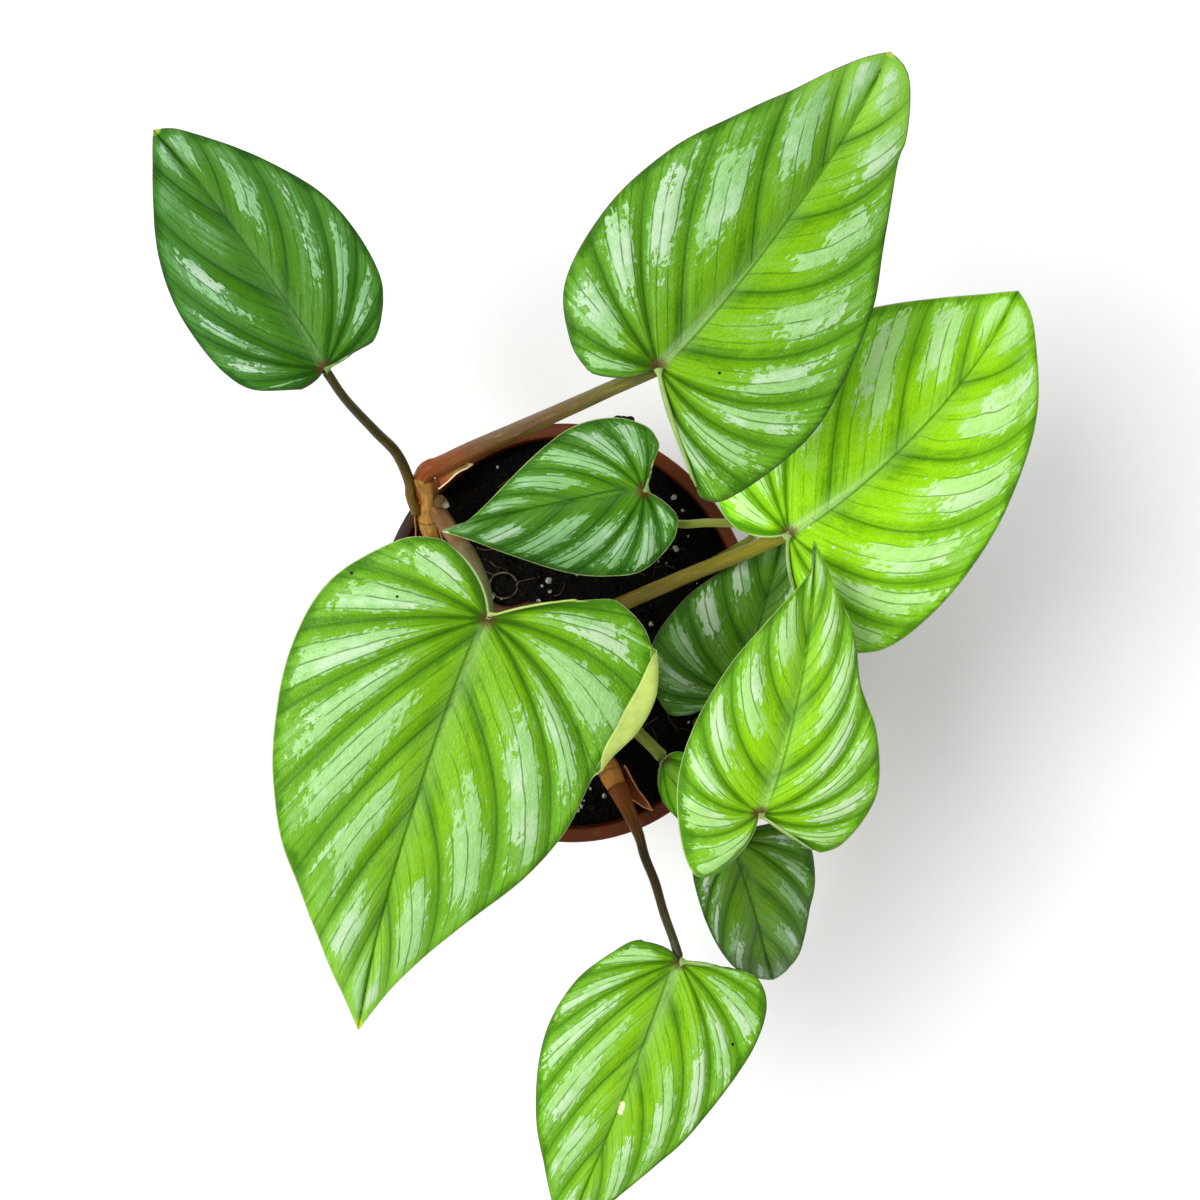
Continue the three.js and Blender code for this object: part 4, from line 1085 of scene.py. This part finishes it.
class PlantSettings(bpy.types.PropertyGroup):
    """All settings of the plant."""
    leaves: bpy.props.PointerProperty(type=LeafSettings)
    stalks: bpy.props.PointerProperty(type=StalkSettings)
    stem: bpy.props.PointerProperty(type=StemSettings)
    pot: bpy.props.PointerProperty(type=PotSettings)
    soil: bpy.props.PointerProperty(type=SoilSettings)


# ---------------------------------------------------------------- operators


class PLANT_OT_leaves(bpy.types.Operator):
    """Makes the ten blades"""
    bl_idname = "plant.leaves"
    bl_label = "Leaves"

    def execute(self, context):
        for number, leaf in enumerate(LEAVES, 1):
            blade_piece(leaf, number, context.scene.plant.leaves)
        return {"FINISHED"}


class PLANT_OT_stalks(bpy.types.Operator):
    """Makes the ten leaf stalks"""
    bl_idname = "plant.stalks"
    bl_label = "Stalks"

    def execute(self, context):
        settings = context.scene.plant.stalks
        for number, leaf in enumerate(LEAVES):
            end = Blade(leaf, 0).matrix @ Vector((0, 0, -STALK_GAP))
            way = Way([*(leaf.foot or leaf.stalk[:1]), *leaf.stalk[1:], end])
            foot_size, foot_end = leaf.foot_thick

            def radius_at(share, angle):
                radius = mix(*leaf.thick, share)
                radius *= mix(foot_size, 1, min(1, share / foot_end) ** 0.7)
                radius *= 1 + settings.swelling * math.exp(-((1 - share) / 0.07) ** 2)
                channel = 1 - 0.1 * math.exp(-(angle / 0.5) ** 2) * min(1, share * 3)
                uneven = noise.noise(Vector((share * way.length * 0.2, math.cos(angle), number)))
                ridges = 1 + 0.022 * math.cos(7 * angle + 2 * share) + 0.02 * uneven
                close = min(1, (1 - share) / 0.012 + 0.55)
                return radius * channel * ridges * close

            bm = bmesh.new()
            tube(bm, way, radius_at, sides=24, steps=max(40, round(way.length)))
            skin = stalk_skin(leaf.name, number, settings, leaf.skin)
            finished("stalk_" + leaf.name + "_skin", bm, "stalk_" + leaf.name, skin)
        return {"FINISHED"}


class PLANT_OT_stem(bpy.types.Operator):
    """Makes the creeping stem and its bud"""
    bl_idname = "plant.stem"
    bl_label = "Creeping stem"

    def execute(self, context):
        settings = context.scene.plant.stem
        knot = settings.knot_height / MM

        def radius_at(share, angle):
            swell = knot * math.cos(2 * math.pi * CREEPER_KNOTS * share)
            spot = Vector((share * 26, 1.5 * math.cos(angle), 1.5 * math.sin(angle)))
            end = min(1, 0.55 + share / 0.012, 0.5 + (1 - share) / 0.14)
            return (CREEPER_RADIUS + swell + 0.22 * noise.fractal(spot, 0.8, 2, 4)) * end

        bm = bmesh.new()
        tube(bm, Way(CREEPER), radius_at, sides=28, steps=220)
        finished("creeping_stem_bark", bm, "creeping_stem", stem_bark(settings))

        bm = bmesh.new()
        straight, share_on = straight_layers(bm)
        bmesh.ops.create_icosphere(bm, subdivisions=4, radius=1)
        point = Vector(BUD["point"]).normalized()
        for vert in bm.verts:
            way = vert.co.copy()
            on = way.dot(point)
            vert[straight] = (way.x * 2, way.y * 0.5, on * 4)
            vert[share_on] = 0.5 + 0.42 * on
            rough = 1 + 0.1 * noise.fractal(way * 2.2, 0.8, 2, 3)
            vert.co = Vector(BUD["at"]) + BUD["size"] * rough * way + point * 1.5 * max(0, on) ** 6
        finished("stem_bud", bm, "creeping_stem", dry_scale("bud", 7, BUD["tones"]))
        return {"FINISHED"}


class PLANT_OT_scales(bpy.types.Operator):
    """Makes the dry scales at the two ends of the creeping stem"""
    bl_idname = "plant.scales"
    bl_label = "Dry scales"

    def execute(self, context):
        steps = 40
        for number, (name, scale) in enumerate(SCALES.items()):
            bm = bmesh.new()
            bmesh.ops.create_grid(bm, x_segments=20, y_segments=steps, size=1)
            straight, share_on = straight_layers(bm)
            way = Way(scale["way"])
            frames = way.frames(steps)
            for vert in bm.verts:
                u, share = vert.co.x, (vert.co.y + 1) / 2
                place, _, up, aside = frames[round(share * steps)]
                width = mix(*scale["thick"], share) * min(1, (1 - share) / 0.18 + 0.12)
                angle = u * math.radians(360 - scale["open"]) / 2 * (1 - 0.35 * share) + math.pi
                uneven = noise.noise(Vector((u * 2, share * 5, number)))
                flare = 1 + 0.25 * abs(u) ** 3 + 0.1 * uneven
                vert[straight] = (u * width, u, share * way.length)
                vert[share_on] = share
                vert.co = place + width * flare * (math.cos(angle) * up + math.sin(angle) * aside)
            piece = finished(name + "_husk", bm, name, dry_scale(name, number, scale["tones"]))
            solid = piece.modifiers.new("thickness", "SOLIDIFY")
            solid.thickness = SCALE_THICKNESS * MM
            solid.offset = 0
        return {"FINISHED"}


def pressed(bm, verts):
    """Presses round work into the pot's oval."""
    bmesh.ops.scale(bm, vec=(*OVAL, 1), verts=verts)
    bmesh.ops.rotate(bm, cent=(0, 0, 0), matrix=Matrix.Rotation(OVAL_TURN, 3, "Z"), verts=verts)


def turned(bm, profile, steps):
    """Spins a profile of [radius, height] into a closed shell around the vertical axis."""
    line = [bm.verts.new((radius, 0, height)) for radius, height in profile]
    edges = [bm.edges.new(pair) for pair in zip(line, line[1:])]
    bmesh.ops.spin(bm, geom=line + edges, cent=(0, 0, 0), axis=(0, 0, 1), angle=2 * math.pi,
                   steps=steps, use_merge=True)
    bmesh.ops.remove_doubles(bm, verts=bm.verts, dist=0.001)
    bmesh.ops.recalc_face_normals(bm, faces=bm.faces)


def inside_radius(height):
    """The pot's inside radius, before it is pressed oval."""
    if height > BAND_FOOT:
        return RIM_RADIUS - RIM_WIDTH - LIP
    return mix(BASE_RADIUS, TAPER_TOP, height / BAND_FOOT) - WALL


def arc(centre, radius, start, end, steps=5):
    """Points of a rounded corner of a profile, from one angle to another in degrees."""
    angles = [math.radians(mix(start, end, k / steps)) for k in range(steps + 1)]
    return [(centre[0] + radius * math.cos(a), centre[1] + radius * math.sin(a)) for a in angles]


class PLANT_OT_pot(bpy.types.Operator):
    """Makes the oval-pressed nursery pot with its drain holes"""
    bl_idname = "plant.pot"
    bl_label = "Pot"

    def execute(self, context):
        top = POT_HEIGHT
        profile = [
            (0, 0.6), (BASE_RADIUS - 8, 0.6), (BASE_RADIUS - 7.2, 0),
            *arc((BASE_RADIUS - 1, 1), 1, -90, -8),
            (mix(BASE_RADIUS, TAPER_TOP, 0.3), BAND_FOOT * 0.3),
            (mix(BASE_RADIUS, TAPER_TOP, 0.7), BAND_FOOT * 0.7),
            (TAPER_TOP - 0.1, BAND_FOOT - 0.8),
            *arc((TAPER_TOP + 0.5, BAND_FOOT - 0.5), 0.5, 180, 90, 3),
            *arc((RIM_RADIUS - 1.4, BAND_FOOT + 0.5), 0.5, -90, 0, 3),
            (RIM_RADIUS - 0.6, BAND_FOOT + 6),
            *arc((RIM_RADIUS - 0.8, top - 0.8), 0.8, 0, 90),
            *arc((RIM_RADIUS - RIM_WIDTH - 0.2, top - 0.8), 0.8, 90, 180),
            (inside_radius(top), BAND_FOOT + WALL), (inside_radius(BAND_FOOT), BAND_FOOT - WALL),
            *arc((inside_radius(FLOOR) - 1.5, FLOOR + 1.5), 1.5, 0, -90, 4), (0, FLOOR),
        ]
        bm = bmesh.new()
        turned(bm, profile, 144)
        pressed(bm, bm.verts)
        piece = finished("pot_shell", bm, "pot", pot_plastic(context.scene.plant.pot))

        # The drain holes are cut by cylinders, which are taken away again.
        bm = bmesh.new()
        for k in range(DRAIN_HOLES):
            angle = k / DRAIN_HOLES * 2 * math.pi
            centre = (DRAIN_CIRCLE * math.cos(angle), DRAIN_CIRCLE * math.sin(angle), 0)
            bmesh.ops.create_cone(bm, cap_ends=True, segments=32, radius1=DRAIN_RADIUS,
                                  radius2=DRAIN_RADIUS, depth=4 * FLOOR,
                                  matrix=Matrix.Translation(centre))
        cutter = made("drains", bm)
        cut = piece.modifiers.new("drains", "BOOLEAN")
        cut.operation = "DIFFERENCE"
        cut.solver = "EXACT"
        cut.object = cutter
        seen = context.evaluated_depsgraph_get()
        seen.update()
        holed = bpy.data.meshes.new_from_object(piece.evaluated_get(seen))
        if not holed.polygons:
            raise RuntimeError("the drain holes took the whole pot away")
        piece.modifiers.clear()
        piece.data = holed
        bpy.data.objects.remove(cutter)
        return {"FINISHED"}


def soil_height(x, y):
    """The soil's slow waves, as in the CAD source."""
    ripple = math.sin(0.31 * x + 1.3) * math.cos(0.27 * y - 0.4) + 0.5 * math.sin(0.55 * (x + y))
    return SOIL_LEVEL + 0.5 * ripple


class PLANT_OT_soil(bpy.types.Operator):
    """Makes the potting mix with its crumbs, perlite, threads, curled rootlet and clod"""
    bl_idname = "plant.soil"
    bl_label = "Soil"

    def execute(self, context):
        settings = context.scene.plant.soil
        relief = settings.relief / MM
        chance = random.Random(7)
        edge = inside_radius(SOIL_LEVEL) - 0.25

        def surface(x, y):
            rough = noise.fractal(Vector((x, y, 0)) * 0.16, 0.9, 2.1, 5)
            near_rim = min(1, max(0, (edge * 0.93 - math.hypot(x / OVAL[0], y / OVAL[1])) / 4))
            return soil_height(x, y) + relief * rough * (0.35 + 0.65 * near_rim)

        def on_soil(x, y, above=0):
            return Vector((x, y, surface(x, y) + above))

        def spot(margin):
            far = (edge - margin) * math.sqrt(chance.random())
            angle = 2 * math.pi * chance.random()
            x, y = OVAL[0] * far * math.cos(angle), OVAL[1] * far * math.sin(angle)
            return Matrix.Rotation(OVAL_TURN, 2) @ Vector((x, y))

        def lump(bm, place, size, subdivisions, rough, shape=(0.6, 1.3)):
            turn = Euler([chance.uniform(0, 6.28) for _ in range(3)]).to_matrix().to_4x4()
            verts = bmesh.ops.create_icosphere(bm, subdivisions=subdivisions, radius=size)["verts"]
            stretch = Vector([chance.uniform(*shape) for _ in range(3)])
            seed = Vector([chance.uniform(0, 90) for _ in range(3)])
            for vert in verts:
                bulge = 1 + rough * noise.noise(vert.co * (1.4 / size) + seed)
                vert.co = turn @ (vert.co * stretch * bulge) + place

        bm = bmesh.new()
        profile = [(0, FLOOR + 0.4), (inside_radius(FLOOR) - 1.6, FLOOR + 0.4),
                   (inside_radius(BAND_FOOT) - 0.4, BAND_FOOT - WALL), (edge, BAND_FOOT + WALL),
                   *((edge * (k / SOIL_RINGS), SOIL_LEVEL) for k in range(SOIL_RINGS, -1, -1))]
        turned(bm, profile, 200)
        pressed(bm, bm.verts)
        for vert in bm.verts:
            if vert.co.z > SOIL_LEVEL - 0.3:
                vert.co.z = surface(vert.co.x, vert.co.y)
        finished("soil_bed", bm, "soil", soil_mix("soil_mix", settings.dark, settings.light))

        bm = bmesh.new()
        for _ in range(CRUMBS):
            x, y = spot(1.5)
            size = chance.uniform(0.35, 1.1) * chance.uniform(0.6, 1.2)
            lump(bm, on_soil(x, y, 0.25 * size), size, 1, 0.7)
        crumbs = soil_mix("soil_crumbs", mix(settings.dark, BLACK, 0.1),
                          mix(settings.light, srgb(84, 60, 42), 0.35))
        finished("soil_crumbs", bm, "soil", crumbs)

        bm = bmesh.new()
        for _ in range(PERLITE_GRAINS):
            x, y = spot(3)
            size = chance.uniform(0.35, 1) ** 1.3
            lump(bm, on_soil(x, y, 0.55 * size), size, 2, 0.6, (0.7, 1.2))
        finished("soil_perlite", bm, "soil", grain_white(settings))

        bm = bmesh.new()
        for _ in range(THREADS):
            x, y = spot(9)
            angle, length = chance.uniform(0, 6.28), chance.uniform(4, 12)
            points = []
            for _ in range(5):
                angle += chance.uniform(-0.6, 0.6)
                points.append(on_soil(x, y, chance.uniform(0.3, 1)))
                x, y = x + length / 4 * math.cos(angle), y + length / 4 * math.sin(angle)
            thin = chance.uniform(0.09, 0.22)
            tube(bm, Way(points), lambda share, _: thin * (1.05 - 0.6 * share), sides=5, steps=10)
        finished("soil_threads", bm, "soil", fibre_brown("threads", (44, 30, 20), (104, 76, 50)))

        bm = bmesh.new()
        points = []
        for k in range(15):
            angle = math.radians(ROOTLET["start"] + 25 * k)
            across = Vector((math.cos(angle), 0.92 * math.sin(angle))) * ROOTLET["ring"]
            x, y = Vector(ROOTLET["centre"]) + across
            points.append(on_soil(x, y, 1.2 + 0.5 * math.sin(2 * angle)))
        points.append(on_soil(*ROOTLET["end"], 1.2))
        tube(bm, Way(points), lambda share, _: 0.3 * (1.1 - 0.6 * share), sides=10, steps=120)
        look = fibre_brown("rootlet", (44, 36, 30), (110, 96, 80), 0.4)
        finished("curled_rootlet", bm, "soil", look)

        bm = bmesh.new()
        for place, size in CLOD:
            lump(bm, Vector(place), size, 4, 0.15, (0.95, 1.05))
        for vert in bm.verts:
            spots = (vert.co * 0.7 + Vector((0, 0, 40 * k)) for k in range(3))
            vert.co += 0.3 * Vector([noise.noise(spot) for spot in spots])
        finished("rim_clod", bm, "soil", crumbs)
        return {"FINISHED"}


class PLANT_OT_stage(bpy.types.Operator):
    """Sets the pale floor, the soft light from the left and the camera above"""
    bl_idname = "plant.stage"
    bl_label = "Stage"

    def execute(self, context):
        scene = context.scene
        bm = bmesh.new()
        bmesh.ops.create_grid(bm, x_segments=4, y_segments=4, size=FLOOR_SIZE)
        finished("floor", bm, None, floor_paper())

        scene.world = bpy.data.worlds.new("studio")
        scene.world.use_nodes = True
        sky = scene.world.node_tree.nodes["Background"]
        sky.inputs["Color"].default_value = (1, 1, 1, 1)
        sky.inputs["Strength"].default_value = SKY_STRENGTH

        sun = bpy.data.lights.new("soft_key", "SUN")
        sun.energy = SUN_STRENGTH
        sun.angle = math.radians(SUN_WIDTH)
        key = bpy.data.objects.new("soft_key", sun)
        key.rotation_euler = Vector(SUN_WAY).to_track_quat("-Z", "Y").to_euler()
        scene.collection.objects.link(key)

        lens = bpy.data.cameras.new("camera")
        lens.lens = LENS
        lens.sensor_width = SENSOR
        lens.clip_start = 0.01
        scene.camera = bpy.data.objects.new("camera", lens)
        scene.camera.location = Vector(CAMERA) * MM
        scene.collection.objects.link(scene.camera)
        scene.view_settings.view_transform = "Standard"
        return {"FINISHED"}


class PLANT_PT_panel(bpy.types.Panel):
    """Lists the plant's pieces in the sidebar"""
    bl_label = "Potted plant"
    bl_space_type = "VIEW_3D"
    bl_region_type = "UI"
    bl_category = "Plant"

    def draw(self, context):
        for piece in PIECES:
            self.layout.operator(piece.bl_idname)
        settings = context.scene.plant
        for group in (settings.leaves, settings.stalks, settings.stem, settings.pot, settings.soil):
            box = self.layout.box()
            for name in group.__annotations__:
                box.prop(group, name)


PIECES = (PLANT_OT_leaves, PLANT_OT_stalks, PLANT_OT_stem, PLANT_OT_scales, PLANT_OT_pot,
          PLANT_OT_soil, PLANT_OT_stage)
CLASSES = (LeafSettings, StalkSettings, StemSettings, PotSettings, SoilSettings, PlantSettings,
           *PIECES, PLANT_PT_panel)


def register():
    for cls in CLASSES:
        bpy.utils.register_class(cls)
    bpy.types.Scene.plant = bpy.props.PointerProperty(type=PlantSettings)


def unregister():
    del bpy.types.Scene.plant
    for cls in reversed(CLASSES):
        bpy.utils.unregister_class(cls)


def main():
    register()
    bpy.ops.plant.leaves()
    bpy.ops.plant.stalks()
    bpy.ops.plant.stem()
    bpy.ops.plant.scales()
    bpy.ops.plant.pot()
    bpy.ops.plant.soil()
    bpy.ops.plant.stage()


if __name__ == "__main__":
    main()
